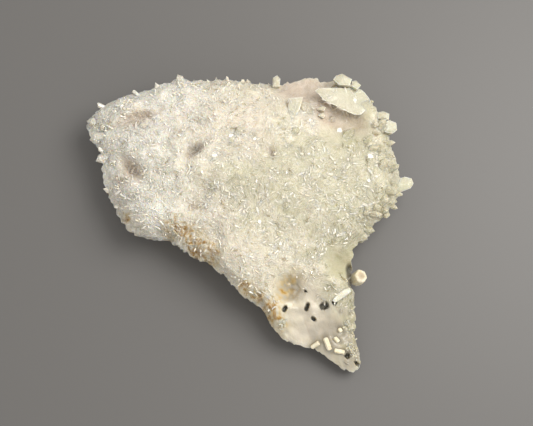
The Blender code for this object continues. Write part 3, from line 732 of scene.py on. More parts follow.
def slab_mesh(name, slabs):
    """Crystals of uneven outline as one mesh. Each has a fan of triangles from its peak to a ring drawn in by
    the bevel and raised by three tenths of it, the bevel out to its corners, a lip as deep as the bevel,
    sides that draw in towards its root point as they go down, and a fan closing its foot. An attribute is 1
    at its corners, so that the finish paints a highlight along the bevel; elsewhere it is 0, or a share
    that paints the whole slab lighter where its upper side lies towards the lamp."""
    points, corners, sizes, bevel_highlights = [], [], [], []
    for (root_x, root_y), peak, *ring in slabs:
        # Painted highlight over the whole slab whose upper side lies towards the lamp
        least = PAINTED_SLAB_HIGHLIGHT if root_y < HIGHLIGHT_SLAB_SOUTH else 0.0
        ring = np.array(ring)
        turn = (ring[:, 0] * np.roll(ring[:, 1], -1) - np.roll(ring[:, 0], -1) * ring[:, 1]).sum()
        ring = ring if turn > 0 else ring[::-1]
        peak = np.array(peak)
        drawn_in = SLAB_BEVEL / np.linalg.norm(peak - ring, axis=1, keepdims=True)
        inner = ring + (peak - ring) * np.minimum(drawn_in, 0.4) + (0, 0, 0.3 * SLAB_BEVEL)
        below = ring - (0, 0, SLAB_BEVEL)
        foot = ring + (np.array([root_x, root_y, 0.0]) - ring * (1, 1, 0)) * SLAB_DRAW - (0, 0, SLAB_ROOT)
        count, first = len(ring), sum(len(part) for part in points)
        points.append(np.concatenate([ring, foot, [peak], [foot.mean(axis=0)], inner, below]))
        bevel_highlights.append(np.repeat([1.0, least], [count, 3 * count + 2]))
        k = np.arange(count)
        after = (k + 1) % count
        within, under = k + 2 * count + 2, k + 3 * count + 2
        next_within, next_under = after + 2 * count + 2, after + 3 * count + 2
        top_fan = np.stack([within, next_within, 0 * k + 2 * count], 1)
        bevel = np.stack([k, after, next_within, within], 1)
        lip = np.stack([under, next_under, after, k], 1)
        side = np.stack([k + count, after + count, next_under, under], 1)
        foot_fan = np.stack([after + count, k + count, 0 * k + 2 * count + 1], 1)
        faces = (top_fan, bevel, lip, side, foot_fan)
        corners.append(first + np.concatenate([face.ravel() for face in faces]))
        sizes.append(np.repeat([3, 4, 4, 4, 3], count))
    points = np.concatenate(points)
    values = tints(points[:, 0], points[:, 1])
    for key in ("mauve_and_shade", "green", "smoke_and_shade"):
        values[key] = 0.3 * values[key]
    values["straw"] = 0.15 + 0.2 * values["straw"]
    values["rough"] = np.full(len(points), 0.3)
    values["bevel_highlight"] = np.concatenate(bevel_highlights)
    mesh = make_mesh(name, points, np.concatenate(corners), np.concatenate(sizes), values)
    mesh.shade_flat()
    return mesh


def cad_crystals():
    """The large crystals of the solid plate and those at its rim, by the rule that places them there: arrays
    of root, tip, width, thickness, slant and roll. The draws for its scattered crystals, which don't show,
    come in between."""
    rng = np.random.default_rng(SEED)
    large = np.array(LARGE_CRYSTALS)
    out = np.minimum(1.0, 0.97 / way_out(large[:, 2], large[:, 3]))
    edge_x = HEART[0] + (large[:, 2] - HEART[0]) * out
    edge_y = HEART[1] + (large[:, 3] - HEART[1]) * out
    root = np.stack([large[:, 0], large[:, 1], top_height(large[:, 0], large[:, 1]) - SINK], 1)
    tip = np.stack([large[:, 2], large[:, 3], top_height(edge_x, edge_y) + large[:, 4]], 1)
    large = (root, tip, large[:, 5], large[:, 6], large[:, 7], np.zeros(len(large)))

    x, y = triangular_grid(FIELD_STEP)
    x = x + rng.uniform(-2.2, 2.2, x.size)
    y = y + rng.uniform(-2.2, 2.2, y.size)
    keep = way_out(x, y) < 0.93
    for px, py, radius in SMOOTH_PLACES:
        keep &= np.hypot(x - px, y - py) > radius
    scattered = keep.sum()
    rng.normal(0, 0.75, scattered)
    rng.uniform(size=5 * scattered)

    count = RIM_CRYSTALS
    bearing = (np.arange(count) + rng.uniform(-0.3, 0.3, count)) * 2 * math.pi / count
    turn = bearing + rng.uniform(-0.5, 0.5, count)
    lift = rng.uniform(0.0, 0.5, count)
    length = rng.uniform(4.0, 6.0, count)
    width = rng.uniform(2.2, 3.6, count)
    roll = rng.uniform(0, math.pi / 3, count)
    reach = rim_reach(bearing) - RIM_ROOT
    x, y = HEART[0] + reach * np.cos(bearing), HEART[1] + reach * np.sin(bearing)
    root = np.stack([x, y, top_height(x, y) - SINK], 1)
    tip = root + direction(turn, lift) * length[:, None]
    keep = (np.abs(tip[:, :2]) < FARTHEST).all(axis=1)
    keep &= (bearing < BROKEN_SIDE[0]) | (bearing > BROKEN_SIDE[1])
    return large, [a[keep] for a in (root, tip, width, np.full(count, 0.9), np.zeros(count), roll)]


def direction(bearing, lift):
    """Unit vectors that point along a bearing and rise by a lift, both in radians."""
    level = np.cos(lift)
    return np.stack([np.cos(bearing) * level, np.sin(bearing) * level, np.sin(lift)], 1)


def within_box(tip):
    """Which tips stay inside the solid plate's own box, so that nothing grows past it."""
    low, high = (np.array(corner) / MM for corner in CAD_BOX)
    return ((tip > low + 0.2) & (tip < high - 0.2)).all(axis=1)


def strays(root, tip, width, rng):
    """Turns each thick crystal into a slender one: it starts at a random place across the thick one's root,
    and ends at a share of its length along nearly the same way."""
    axis = tip - root
    axis = axis / np.linalg.norm(axis, axis=1, keepdims=True)
    scatter = rng.normal(0, 0.28, axis.shape) * width[:, None]
    scatter -= axis * (scatter * axis).sum(1, keepdims=True)
    start = root + scatter
    rng.random((len(root), 1))  # holds the place of a draw, so that those that follow stay as they are
    heading = axis + rng.normal(0, 0.10, axis.shape)
    heading /= np.linalg.norm(heading, axis=1, keepdims=True)
    reach = np.linalg.norm(tip - start, axis=1, keepdims=True) * (1 - 0.5 * rng.random((len(root), 1)) ** 1.5)
    end = start + heading * reach
    wide = width * rng.uniform(0.6, 0.9, len(root))
    keep = within_box(end)
    return start[keep], end[keep], wide[keep]


def needles(step, longest, widest, seed):
    """Sheaves of needles over the plate: one sheaf at each point of a jittered grid, leaning away from the
    swell it grows on by a bearing that drifts with noise, its needles a few degrees apart."""
    rng = np.random.default_rng(seed)
    x, y = triangular_grid(step)
    x = x + rng.uniform(-0.45, 0.45, x.size) * step
    y = y + rng.uniform(-0.45, 0.45, y.size) * step
    keep = (way_out(x, y) < 0.985) & (rough_share(x, y) > rng.uniform(0.15, 0.9, x.size))
    keep &= hollow_share(x, y) < rng.uniform(0.2, 0.8, x.size)
    x, y = x[keep], y[keep]
    away, share = spray(x, y)
    bearing = away + 2.2 * noise(x, y, 7.0, seed + 1) + rng.normal(0, 0.9, x.size)
    lift = np.radians(rng.uniform(0, 9, x.size) + 4 * (1 - share))
    kind = rng.random(x.size)
    x, y, bearing, lift, kind = (np.repeat(a, NEEDLES_EACH) for a in (x, y, bearing, lift, kind))
    count = x.size
    x = x + rng.normal(0, 0.32 * step, count)
    y = y + rng.normal(0, 0.32 * step, count)
    bearing = bearing + rng.normal(0, 0.16, count)
    lift = lift + rng.normal(0, 0.08, count)
    long = rng.uniform(0.45 * longest, longest, count)
    wide = rng.uniform(0.45 * widest, widest, count)
    root = np.stack([x, y, ground_height(x, y) - NEEDLE_DEPTH], 1)
    tip = root + direction(bearing, np.clip(lift, 0.02, 1.3)) * long[:, None]
    keep = within_box(tip) & (way_out(x, y) < 0.965) & (way_out(tip[:, 0], tip[:, 1]) < 0.985)
    return [a[keep] for a in (root, tip, wide, kind)] + [rng]


def edge_slivers(rng):
    """Short crystals in a row along each bright edge, each a little off the line and a little tilted."""
    starts, ends = [], []
    for line in BRIGHT_EDGES:
        line = np.array(line)
        run = np.concatenate([[0.0], np.cumsum(np.hypot(*np.diff(line, axis=0).T))])
        at = np.arange(0.0, run[-1], SLIVER_STEP)
        for ahead, part in ((0.0, starts), (SLIVER_LENGTH, ends)):
            x, y = (np.interp(at + ahead, run, way) + rng.normal(0, 0.16, len(at)) for way in line.T)
            part.append(np.stack([x, y, surface_height(x, y) + rng.uniform(-0.15, 0.3, len(at))], 1))
    return np.concatenate(starts), np.concatenate(ends)


def half_way(place, rng, spread):
    """Unit vectors at places of the plate that point half way between the lamp and the camera, each off by
    a random amount of the given spread in radians: a face turned this way flashes."""
    to_lamp, to_camera = (np.array(far) - place for far in (LAMP_PLACE, CAMERA_PLACE))
    toward = sum(way / np.linalg.norm(way, axis=1, keepdims=True) for way in (to_lamp, to_camera)) / 2
    toward += rng.normal(0, 1, toward.shape) * spread
    return toward / np.linalg.norm(toward, axis=1, keepdims=True)


def lit_crystals(rng):
    """Slender crystals lying among the others, each with a side face turned towards the light: they lie
    along a bearing that drifts over the plate, and each is rolled until its upper face meets the half-way
    vector."""
    x = rng.uniform(-64, 62, LIT_CRYSTALS)
    y = rng.uniform(-57, 58, LIT_CRYSTALS)
    keep = (way_out(x, y) < 0.93) & (rough_share(x, y) > rng.uniform(0.3, 0.8, x.size))
    keep &= (noise(x, y, 6.0, 55) > rng.uniform(-0.9, 0.4, x.size)) & (hollow_share(x, y) < 0.4)
    x, y = x[keep], y[keep]
    middle = np.stack([x, y, surface_height(x, y) + rng.uniform(-0.1, 0.12, x.size)], 1)
    toward = half_way(middle, rng, LIT_SPREAD)
    bearing = spray(x, y)[0] + 2.2 * noise(x, y, 7.0, SEED + 41) + rng.normal(0, 0.5, x.size)
    axis = direction(bearing, np.zeros(x.size))
    axis -= toward * (axis * toward).sum(1, keepdims=True)
    axis /= np.linalg.norm(axis, axis=1, keepdims=True)
    half = rng.uniform(0.5, 1.6, (x.size, 1))
    level, upright = frame_along(axis)
    roll = np.arctan2(-(toward * level).sum(1), (toward * upright).sum(1))
    width = rng.uniform(0.3, 0.9, x.size)
    thickness, slant = rng.uniform(0.5, 0.9, x.size), rng.uniform(-0.4, 0.4, x.size)
    uneven = rng.uniform(-0.1, 0.1, (x.size, 6))
    root, tip = middle - axis * half, middle + axis * half
    return crystal_points(root, tip, width, thickness, roll, slant, 0.8 * width, uneven)


def rim_crowd(rng):
    """Stubby crystals that crowd the eastern rim, leaning outwards: each starts a little inside the rim at an
    even random bearing."""
    bearing = rng.uniform(*CROWD_BEARINGS, CROWD_COUNT)
    reach = rim_reach(bearing) * rng.uniform(0.80, 0.945, CROWD_COUNT)
    x, y = HEART[0] + reach * np.cos(bearing), HEART[1] + reach * np.sin(bearing)
    keep = np.all([np.hypot(x - px, y - py) > radius for px, py, radius in CROWD_CLEARINGS], axis=0)
    x, y, bearing = x[keep], y[keep], bearing[keep]
    root = np.stack([x, y, ground_height(x, y) - CROWD_SINK], 1)
    heading = direction(bearing + rng.normal(0, 0.6, x.size), rng.uniform(0.35, 0.95, x.size))
    tip = root + heading * rng.uniform(4.0, 6.6, (x.size, 1))
    keep = within_box(tip) & (way_out(tip[:, 0], tip[:, 1]) < 1.04)
    return root[keep], tip[keep], rng.uniform(2.2, 4.0, keep.sum())


def grow(root, tip, width, rng, heads=(0.5, 1.1)):
    """Corner arrays for crystals of given ends and widths, with everything else drawn at random. heads gives
    how far the shoulders stand from the tip, in widths."""
    count = len(root)
    length = np.linalg.norm(tip - root, axis=1)
    thick = rng.uniform(0.7, 1.0, count)
    head = np.minimum(width * rng.uniform(*heads, count), 0.6 * length)
    uneven = rng.uniform(-0.10, 0.10, (count, 6))
    slant = rng.uniform(-0.45, 0.45, count)
    return crystal_points(root, tip, width, thick, rng.uniform(0, math.pi / 3, count), slant, head, uneven)


def needle_values(root, tip, rng):
    """Attributes of each crystal: the plate's tints at its middle, its own shade from 0 to 1, and how far the
    facets of the finish stand out on it."""
    middle = 0.5 * (root + tip)
    values = tints(middle[:, 0], middle[:, 1])
    values["shade"] = rng.random(len(root))
    values["rough"] = np.full(len(root), 0.6)
    return values


def linear(code):
    """A colour given as sRGB hex, such as #E6DFBB, as the linear numbers that shaders take."""
    parts = [int(code[i:i + 2], 16) / 255 for i in (1, 3, 5)]
    return [c / 12.92 if c <= 0.04045 else ((c + 0.055) / 1.055) ** 2.4 for c in parts] + [1.0]


# Numbers of a colour mix's inputs and of its output, whose names it shares with other kinds of mix
MIX_A, MIX_B, MIX_OUT = 6, 7, 2
QUARTZ_IOR = 1.544
# How far red, green and blue light go in milky quartz, as shares of its depth
MILKY_RADIUS = (1.0, 0.85, 0.62)
CRYSTAL_DEPTH = 0.0008
# Colour of the painted highlights along the edges of the facet cells and round the slabs' bevels
PAINTED_HIGHLIGHT = "#FFFAEC"
# Tints of quartz: the attribute that each goes by, its colour, and its strength
# Of these tints, white is painted light on the west side, and the mauve, green and smoke tints also carry
# painted shade
QUARTZ_TINTS = (
    ("white", "#FFFAF0", 1.0), ("mauve_and_shade", "#C3AF9F", 0.85), ("straw", "#BCB898", 0.85),
    ("green", "#A5A277", 0.85), ("smoke_and_shade", "#A8A091", 0.85), ("rust", "#CDAA50", 1.0),
    ("iron", "#A67C2A", 1.0),
)
# Layers of facets, coarsest first, each a pattern of cells: how far their faces lean, how many cells go into
# a millimetre along each axis, the size in millimetres of a patch within which they lie the same way, and
# how strong the painted highlight along their edges is
FACET_LAYERS = (
    (0.26, (0.75, 0.19, 0.5), 9.0, 0.65), (0.42, (1.6, 0.38, 1.0), 4.5, 0.45),
    (0.34, (2.4, 0.6, 1.0), 2.6, 0.4),
)
FACET_SWAY = 6.0 * MM  # how far noise carries the cells off, so that no edge runs straight for long
FACET_RISE = 1.1 * MM  # height of the roof over a cell, at one cell's size from its edge
LINE_EDGE, LINE_END = 0.06, 0.17  # how far from a cell's edge its painted highlight line begins and ends; nearer the edge than the first lies painted shade


def add_node(tree, kind, settings=None, links=None, out=0):
    """Adds a shader node of a kind and gives its output of a name or number. settings gives its properties by
    name, and its inputs by name or number when in the form {"in": {...}}. links gives, for each of its
    inputs, the output socket that feeds it."""
    node = tree.nodes.new("ShaderNode" + kind)
    settings = dict(settings or {})
    inputs = settings.pop("in", {})
    for key, value in settings.items():
        setattr(node, key, value)
    for key, value in inputs.items():
        node.inputs[key].default_value = value
    for key, socket in (links or {}).items():
        tree.links.new(socket, node.inputs[key])
    return node.outputs[out]


def new_finish(name):
    """An empty material: itself, its node tree and the input that takes its surface shader."""
    old = bpy.data.materials.get(name)
    if old:
        bpy.data.materials.remove(old)
    made = bpy.data.materials.new(name)
    made.use_nodes = True
    made.node_tree.nodes.clear()
    return made, made.node_tree, made.node_tree.nodes.new("ShaderNodeOutputMaterial").inputs


def tinted(tree, colour, strengths):
    """The base colour of quartz with the plate's tints laid over it, each by its attribute."""
    socket = add_node(tree, "RGB")
    socket.default_value = linear(colour)
    for name, tint, strength in strengths:
        amount = add_node(tree, "Attribute", {"attribute_name": name}, out="Fac")
        scaled = add_node(tree, "Math", {"operation": "MULTIPLY", "in": {1: strength}}, {0: amount})
        socket = add_node(tree, "Mix", {"data_type": "RGBA", "in": {MIX_B: linear(tint)}},
                          {0: scaled, MIX_A: socket}, MIX_OUT)
    return socket


def facets(tree, colour, place):
    """Crystals grown together, as layers of long cells that lie one way within a patch and another way in the
    next. Each cell leans its own way and is a roof over its distance to its edge, with a painted highlight
    line along the edge and a thin painted shade in the gap beyond. Gives the colour, the normal and the
    roofs."""
    sway = add_node(tree, "TexNoise", {"in": {"Scale": 1 / (6.0 * MM), "Detail": 1.0}},
                    {"Vector": place}, "Color")
    bent = add_node(tree, "VectorMath", {"operation": "MULTIPLY_ADD", "in": {1: (FACET_SWAY,) * 3}},
                    {0: sway, 2: place})
    whole = add_node(tree, "Attribute", {"attribute_name": "rough"}, out="Fac")
    swings = add_node(tree, "TexNoise", {"in": {"Scale": 1 / (7.0 * MM), "Detail": 2.0}},
                      {"Vector": place})
    thick = add_node(tree, "MapRange", {"in": {"From Min": 0.4, "From Max": 0.6, "To Min": 0.4}},
                     {"Value": swings})
    broken = add_node(tree, "Math", {"operation": "MULTIPLY"}, {0: whole, 1: thick})
    facing = add_node(tree, "NewGeometry", out="Normal")
    roofs = []
    strengths = zip((whole, whole, broken), (whole, broken, broken))  # of each layer's lean and of its lines
    for (lean, stretch, patch, light), (leaning, drawn) in zip(FACET_LAYERS, strengths):
        chance = add_node(tree, "TexVoronoi", {"in": {"Scale": 1 / (patch * MM)}}, {"Vector": bent},
                          "Color")
        chance = add_node(tree, "SeparateXYZ", None, {0: chance})
        angle = add_node(tree, "Math", {"operation": "MULTIPLY", "in": {1: 2 * math.pi}}, {0: chance})
        turned = add_node(tree, "VectorRotate", {"rotation_type": "Z_AXIS"},
                          {"Vector": bent, "Angle": angle})
        cell = add_node(tree, "VectorMath", {"operation": "MULTIPLY", "in": {1: stretch}}, {0: turned})
        own = add_node(tree, "TexVoronoi", {"in": {"Scale": 1 / MM}}, {"Vector": cell}, "Color")
        own = add_node(tree, "VectorMath", {"operation": "SUBTRACT", "in": {1: (0.5,) * 3}}, {0: own})
        own = add_node(tree, "VectorMath", {"operation": "SCALE", "in": {"Scale": lean}}, {0: own})
        own = add_node(tree, "VectorMath", {"operation": "SCALE"}, {0: own, "Scale": leaning})
        facing = add_node(tree, "VectorMath", {"operation": "ADD"}, {0: facing, 1: own})
        rim = add_node(tree, "TexVoronoi", {"feature": "DISTANCE_TO_EDGE", "in": {"Scale": 1 / MM}},
                       {"Vector": cell}, "Distance")
        roofs.append(add_node(tree, "Math", {"operation": "MULTIPLY"}, {0: rim, 1: drawn}))
        # gap is painted shade in the crevice round each cell, line a painted highlight just inside its edge
        gap, line, beyond = (
            add_node(tree, "MapRange", {"in": limits}, {"Value": rim}) for limits in (
                {"From Max": LINE_EDGE, "To Min": 0.38, "To Max": 0.0},
                {"From Min": LINE_EDGE, "From Max": LINE_END, "To Min": light, "To Max": 0.0},
                {"From Min": 0.5 * LINE_EDGE, "From Max": LINE_EDGE}))
        line = add_node(tree, "Math", {"operation": "MULTIPLY"}, {0: line, 1: beyond})
        # Paints the shade of the gaps and the highlight of the lines into the colour
        for amount, laid in ((gap, "#A3917A"), (line, PAINTED_HIGHLIGHT)):
            shown = add_node(tree, "Math", {"operation": "MULTIPLY"}, {0: amount, 1: drawn})
            colour = add_node(tree, "Mix", {"data_type": "RGBA", "in": {MIX_B: linear(laid)}},
                              {0: shown, MIX_A: colour}, MIX_OUT)
    return colour, add_node(tree, "VectorMath", {"operation": "NORMALIZE"}, {0: facing}), roofs


def vein_finish(name, depth, gloss=0.2, clear=0.0, colour="#F5EBD9"):
    """Massive vein quartz: milk-white and dull, because it is full of fine cracks and fluid, so light soaks
    in by its depth and comes back soft. The crystals that stand on it have the same finish with less depth,
    so that they belong to it. Painted dark as shade in its pits, stained with iron at its lower rim, and
    painted with highlights along the bevels of large crystals and the edges of its facet cells."""
    made, tree, output = new_finish(name)
    place = add_node(tree, "TexCoord", out="Object")
    # The last tint paints the sockets, the prism's gap and the rods' beds dark, as shade
    base = tinted(tree, colour, QUARTZ_TINTS + (("pit_shade", "#4A483C", 0.95),))
    cloud = add_node(tree, "TexNoise", {"in": {"Scale": 1 / (4.0 * MM), "Detail": 4.0}},
                     {"Vector": place})
    veil = add_node(tree, "MapRange", {"in": {"From Min": 0.35, "From Max": 0.7, "To Max": 0.10}},
                    {"Value": cloud})
    base = add_node(tree, "Mix", {"data_type": "RGBA", "in": {MIX_B: linear("#C9BDAA")}},
                    {0: veil, MIX_A: base}, MIX_OUT)
    base, normal, roofs = facets(tree, base, place)
    # Painted highlight along the slabs' bevels, mixed into the colour
    bevel_highlight = add_node(tree, "Attribute", {"attribute_name": "bevel_highlight"}, out="Fac")
    highlight_share = add_node(tree, "MapRange", {"in": {"From Min": 0.35, "From Max": 0.8, "To Max": 0.85}},
                     {"Value": bevel_highlight})
    base = add_node(tree, "Mix", {"data_type": "RGBA", "in": {MIX_B: linear(PAINTED_HIGHLIGHT)}},
                    {0: highlight_share, MIX_A: base}, MIX_OUT)
    grain = add_node(tree, "TexNoise", {"in": {"Scale": 1 / (0.7 * MM), "Detail": 3.0}},
                     {"Vector": place})
    bump = add_node(tree, "Bump", {"in": {"Strength": 0.3, "Distance": 0.3 * MM}},
                    {"Height": grain, "Normal": normal})
    for roof in roofs:
        bump = add_node(tree, "Bump", {"in": {"Strength": 0.8, "Distance": FACET_RISE}},
                        {"Height": roof, "Normal": bump})
    shader = add_node(
        tree, "BsdfPrincipled",
        {"in": {"Roughness": gloss, "IOR": QUARTZ_IOR, "Transmission Weight": clear, "Subsurface Weight": 0.8,
                "Subsurface Scale": depth, "Subsurface Radius": MILKY_RADIUS}},
        {"Base Color": base, "Normal": bump})
    tree.links.new(shader, output["Surface"])
    return made


def needle_finish(name, colour, clear, rough, soak, tint_share, glow):
    """A quartz crystal of a given clearness: how much of the light goes through its faces, how polished they
    are, how much the body of the crystal soaks up, how strongly it has the plate's tints, and how much
    light comes back out of it."""
    made, tree, output = new_finish(name)
    place = add_node(tree, "TexCoord", out="Object")
    base = tinted(tree, colour, tuple((key, tint, share * tint_share) for key, tint, share in QUARTZ_TINTS))
    shade = add_node(tree, "Attribute", {"attribute_name": "shade"}, out="Fac")
    darker = add_node(tree, "MapRange", {"in": {"To Min": 0.98, "To Max": 1.0}}, {"Value": shade})
    base = add_node(tree, "Mix", {"data_type": "RGBA", "blend_type": "MULTIPLY", "in": {0: 1.0}},
                    {MIX_A: base, MIX_B: darker}, MIX_OUT)
    if clear < 1:
        cloud = add_node(tree, "TexNoise", {"in": {"Scale": 1 / (2.5 * MM), "Detail": 3.0}},
                         {"Vector": place})
        veil = add_node(tree, "MapRange", {"in": {"From Min": 0.4, "From Max": 0.7, "To Max": 0.12}},
                        {"Value": cloud})
        base = add_node(tree, "Mix", {"data_type": "RGBA", "in": {MIX_B: linear("#CDC5AC")}},
                        {0: veil, MIX_A: base}, MIX_OUT)
    striae = add_node(tree, "TexNoise", {"in": {"Scale": 1 / (0.5 * MM), "Detail": 2.0}},
                      {"Vector": place})
    bump = add_node(tree, "Bump", {"in": {"Strength": 0.25, "Distance": 0.1 * MM}}, {"Height": striae})
    shader = add_node(
        tree, "BsdfPrincipled",
        {"in": {"Roughness": rough, "IOR": QUARTZ_IOR, "Transmission Weight": clear,
                "Subsurface Weight": glow, "Subsurface Scale": 0.001, "Subsurface Radius": (1.0, 0.9, 0.75)}},
        {"Base Color": base, "Normal": bump})
    tree.links.new(shader, output["Surface"])
    if soak:
        volume = add_node(tree, "VolumeAbsorption", {"in": {"Color": linear("#EEE8CC"), "Density": soak}})
        tree.links.new(volume, output["Volume"])
    return made


def clear_finish():
    """Rock crystal: glass-clear with bright, nearly perfect faces, and a breath of straw where thick."""
    return needle_finish("clear rock crystal", "#FFFCF2", 1.0, 0.03, 6.0, 0.0, 0.0)


def misty_finish():
    """Quartz with a haze of fine bubbles: some of the light goes through and the rest comes back white."""
    return needle_finish("misty quartz", "#FBF6E9", 0.2, 0.08, 0.0, 0.7, 0.4)


def polished_finish():
    """Crystal faces that meet the light: smooth, so that a whole face flashes white."""
    made, tree, output = new_finish("polished crystal faces")
    shader = add_node(
        tree, "BsdfPrincipled",
        {"in": {"Base Color": linear("#E8DECB"), "Roughness": 0.16, "IOR": QUARTZ_IOR,
                "Subsurface Weight": 0.8, "Subsurface Scale": CRYSTAL_DEPTH,
                "Subsurface Radius": MILKY_RADIUS}})
    tree.links.new(shader, output["Surface"])
    return made


def cream_finish():
    """The cream mineral: a dull, chalky crystal of many grains, with brown over its outer end, whose middle
    is sunk a little.
    """
    made, tree, output = new_finish("cream granular mineral")
    place = add_node(tree, "TexCoord", out="Object")
    patches = add_node(tree, "TexNoise", {"in": {"Scale": 1 / (1.6 * MM), "Detail": 3.0}},
                       {"Vector": place})
    patches = add_node(tree, "MapRange", {"in": {"From Min": 0.3, "From Max": 0.72}}, {"Value": patches})
    colour = add_node(tree, "Mix",
                      {"data_type": "RGBA", "in": {MIX_A: linear("#F7F1DC"), MIX_B: linear("#E2D3AE")}},
                      {0: patches}, MIX_OUT)
    # Brown over the outer end of each crystal
    hollow = add_node(tree, "Attribute", {"attribute_name": "hollow"}, out="Fac")
    colour = add_node(tree, "Mix", {"data_type": "RGBA", "in": {MIX_B: linear("#9A8262")}},
                      {0: hollow, MIX_A: colour}, MIX_OUT)
    grain = add_node(tree, "TexNoise", {"in": {"Scale": 1 / (0.35 * MM), "Detail": 2.0}},
                     {"Vector": place})
    bump = add_node(tree, "Bump", {"in": {"Strength": 0.6, "Distance": 0.2 * MM}}, {"Height": grain})
    shader = add_node(
        tree, "BsdfPrincipled",
        {"in": {"Roughness": 0.6, "IOR": 1.55, "Subsurface Weight": 0.3, "Subsurface Scale": 0.0008,
                "Subsurface Radius": (1.0, 0.9, 0.7)}},
        {"Base Color": colour, "Normal": bump})
    tree.links.new(shader, output["Surface"])
    return made


def stage_finish(colour):
    """Matt painted board: plain, pale grey and without gloss, so that nothing competes with the crystals."""
    made, tree, output = new_finish("matt pale board")
    shader = add_node(tree, "BsdfPrincipled",
                      {"in": {"Base Color": (*colour, 1.0), "Roughness": 0.5, "Specular IOR Level": 0.45}})
    tree.links.new(shader, output["Surface"])
    return made


def rod_mesh(name, root, tip, width, seed, around=48, along=40):
    """A cream crystal: round its axis runs a six-sided outline with softened corners, and along the axis it
    closes in a quarter circle at each end, with grains standing out of it by noise. The middle of the
    outer end is sunk a little."""
    root, tip = np.array(root), np.array(tip)
    axis = tip - root
    length = np.linalg.norm(axis)
    axis = axis / length
    level, upright = (way[0] for way in frame_along(axis[None]))
    angle = np.arange(around)[None, :] * 2 * math.pi / around
    share = np.linspace(0, 1, along)[1:-1, None]
    sector = np.mod(angle, math.pi / 3) - math.pi / 6
    outline = 0.5 * width * (0.8 * math.cos(math.pi / 6) / np.cos(sector) + 0.2 * 0.93)
    end = min(0.32 * width, 0.45 * length) / length
    ease = np.clip(np.minimum(share, 1 - share) / end, 0, 1)
    closing = np.sqrt(1 - (1 - ease) ** 2)
    lumps = 1 + 0.07 * noise(angle * 5 + 0 * share, share * 9 + 0 * angle, 1.0, seed)
    lumps += 0.05 * noise(angle * 11 + 0 * share, share * 22 + 0 * angle, 1.0, seed + 1)
    radius = outline * closing * lumps
    x = radius * np.cos(angle)
    y = radius * np.sin(angle) * 0.9
    dish = 0.10 * width * np.clip(1 - (1 - share) / end, 0, 1) * (1 - closing) * 1.5
    z = share * length - dish + 0 * angle
    body = root + x[..., None] * level + y[..., None] * upright + z[..., None] * axis
    rings = body.shape[0]
    points = np.concatenate([body.reshape(-1, 3), [root, root + axis * (length - 0.15 * width)]])
    corners, sides = tube_faces(rings, around, turned=True)
    hollow = np.zeros(len(points))
    inner_end = np.clip(1.15 - 1.5 * closing, 0, 1) * (share > 0.5) + 0 * angle
    hollow[:rings * around] = 0.8 * np.clip(inner_end * (1 + 0.6 * lumps), 0, 1).ravel()
    hollow[-1] = 0.8
    mesh = make_mesh(name, points, corners, sides, {"hollow": hollow})
    mesh.shade_smooth()
    return mesh


class QuartzNeedleSettings(bpy.types.PropertyGroup):
    """Sizes of the needles."""

    spacing: bpy.props.FloatProperty(
        name="Spacing", description="Distance between sheaves of needles", default=0.0036, unit="LENGTH")
    longest: bpy.props.FloatProperty(
        name="Longest", description="Length of the longest needles", default=0.0034, unit="LENGTH")
    widest: bpy.props.FloatProperty(
        name="Widest", description="Width of the widest needles", default=0.0009, unit="LENGTH")


class QuartzStageSettings(bpy.types.PropertyGroup):
    """The floor, the light and the camera."""

    floor_colour: bpy.props.FloatVectorProperty(
        name="Floor", description="Colour of the floor", default=linear("#686664")[:3], subtype="COLOR")
    key_power: bpy.props.FloatProperty(
        name="Key light", description="Power of the large soft light", default=2.6, unit="POWER")
    spark_power: bpy.props.FloatProperty(
        name="Small light", description="Power of the small light that glints on the faces", default=0.12,
        unit="POWER")
    fill: bpy.props.FloatProperty(
        name="Fill", description="Brightness of the even light from all round", default=0.75)
    elevation: bpy.props.FloatProperty(
        name="Camera elevation", description="Angle of the camera above the floor", default=math.radians(80),
        subtype="ANGLE")
    distance: bpy.props.FloatProperty(
        name="Camera distance", description="From the camera to the plate's top", default=0.474,
        unit="LENGTH")


class QUARTZ_OT_ground(bpy.types.Operator):
    """Makes the massive quartz plate that everything grows on"""

    bl_idname = "quartz.ground"
    bl_label = "Quartz ground"

    def execute(self, context):
        mesh = ground_mesh()
        mesh.shade_smooth()
        mesh.set_sharp_from_angle(angle=math.radians(32))
        finish = vein_finish("milky vein quartz", 0.003)
        make_piece("quartz_ground", mesh, finish, replaced=("quartz_cluster",))
        return {"FINISHED"}


class QUARTZ_OT_points(bpy.types.Operator):
    """Makes the large crystals, and the crystals round the rim"""

    bl_idname = "quartz.points"
    bl_label = "Large points"

    def execute(self, context):
        rng = np.random.default_rng(SEED + 20)
        veiled = vein_finish("veiled thick quartz", 0.0015, gloss=0.05, clear=0.1, colour="#DEDCC6")
        milky = vein_finish("milky quartz crystals", CRYSTAL_DEPTH)
        misty = misty_finish()
        large, rim = cad_crystals()
        root, tip, width, thick, slant, roll = (np.delete(part, OWN_SLABS, axis=0) for part in large)
        head = np.minimum(0.5 * width, 0.5 * np.linalg.norm(tip - root, axis=1))
        uneven = rng.uniform(-0.05, 0.05, (len(root), 6))
        points = crystal_points(root, tip, width, thick, roll, slant, head, uneven)
        make_crystals("large_points", points, needle_values(root, tip, rng), veiled)
        make_piece("slab_crystals", slab_mesh("slab_crystals", SLABS), veiled)
        root, tip, width = rim_crowd(rng)
        points = grow(root, tip, width, rng, heads=(0.35, 0.7))
        make_crystals("rim_crowd", points, needle_values(root, tip, rng), milky)
        root, tip, width = strays(*rim[:3], rng)
        clear = rng.random(len(root)) < 0.35
        for name, chosen, finish in (("clear_bundles", clear, misty), ("misty_bundles", ~clear, milky)):
            points = grow(root[chosen], tip[chosen], width[chosen], rng, heads=(0.3, 0.7))
            make_crystals(name, points, needle_values(root[chosen], tip[chosen], rng), finish)
        return {"FINISHED"}


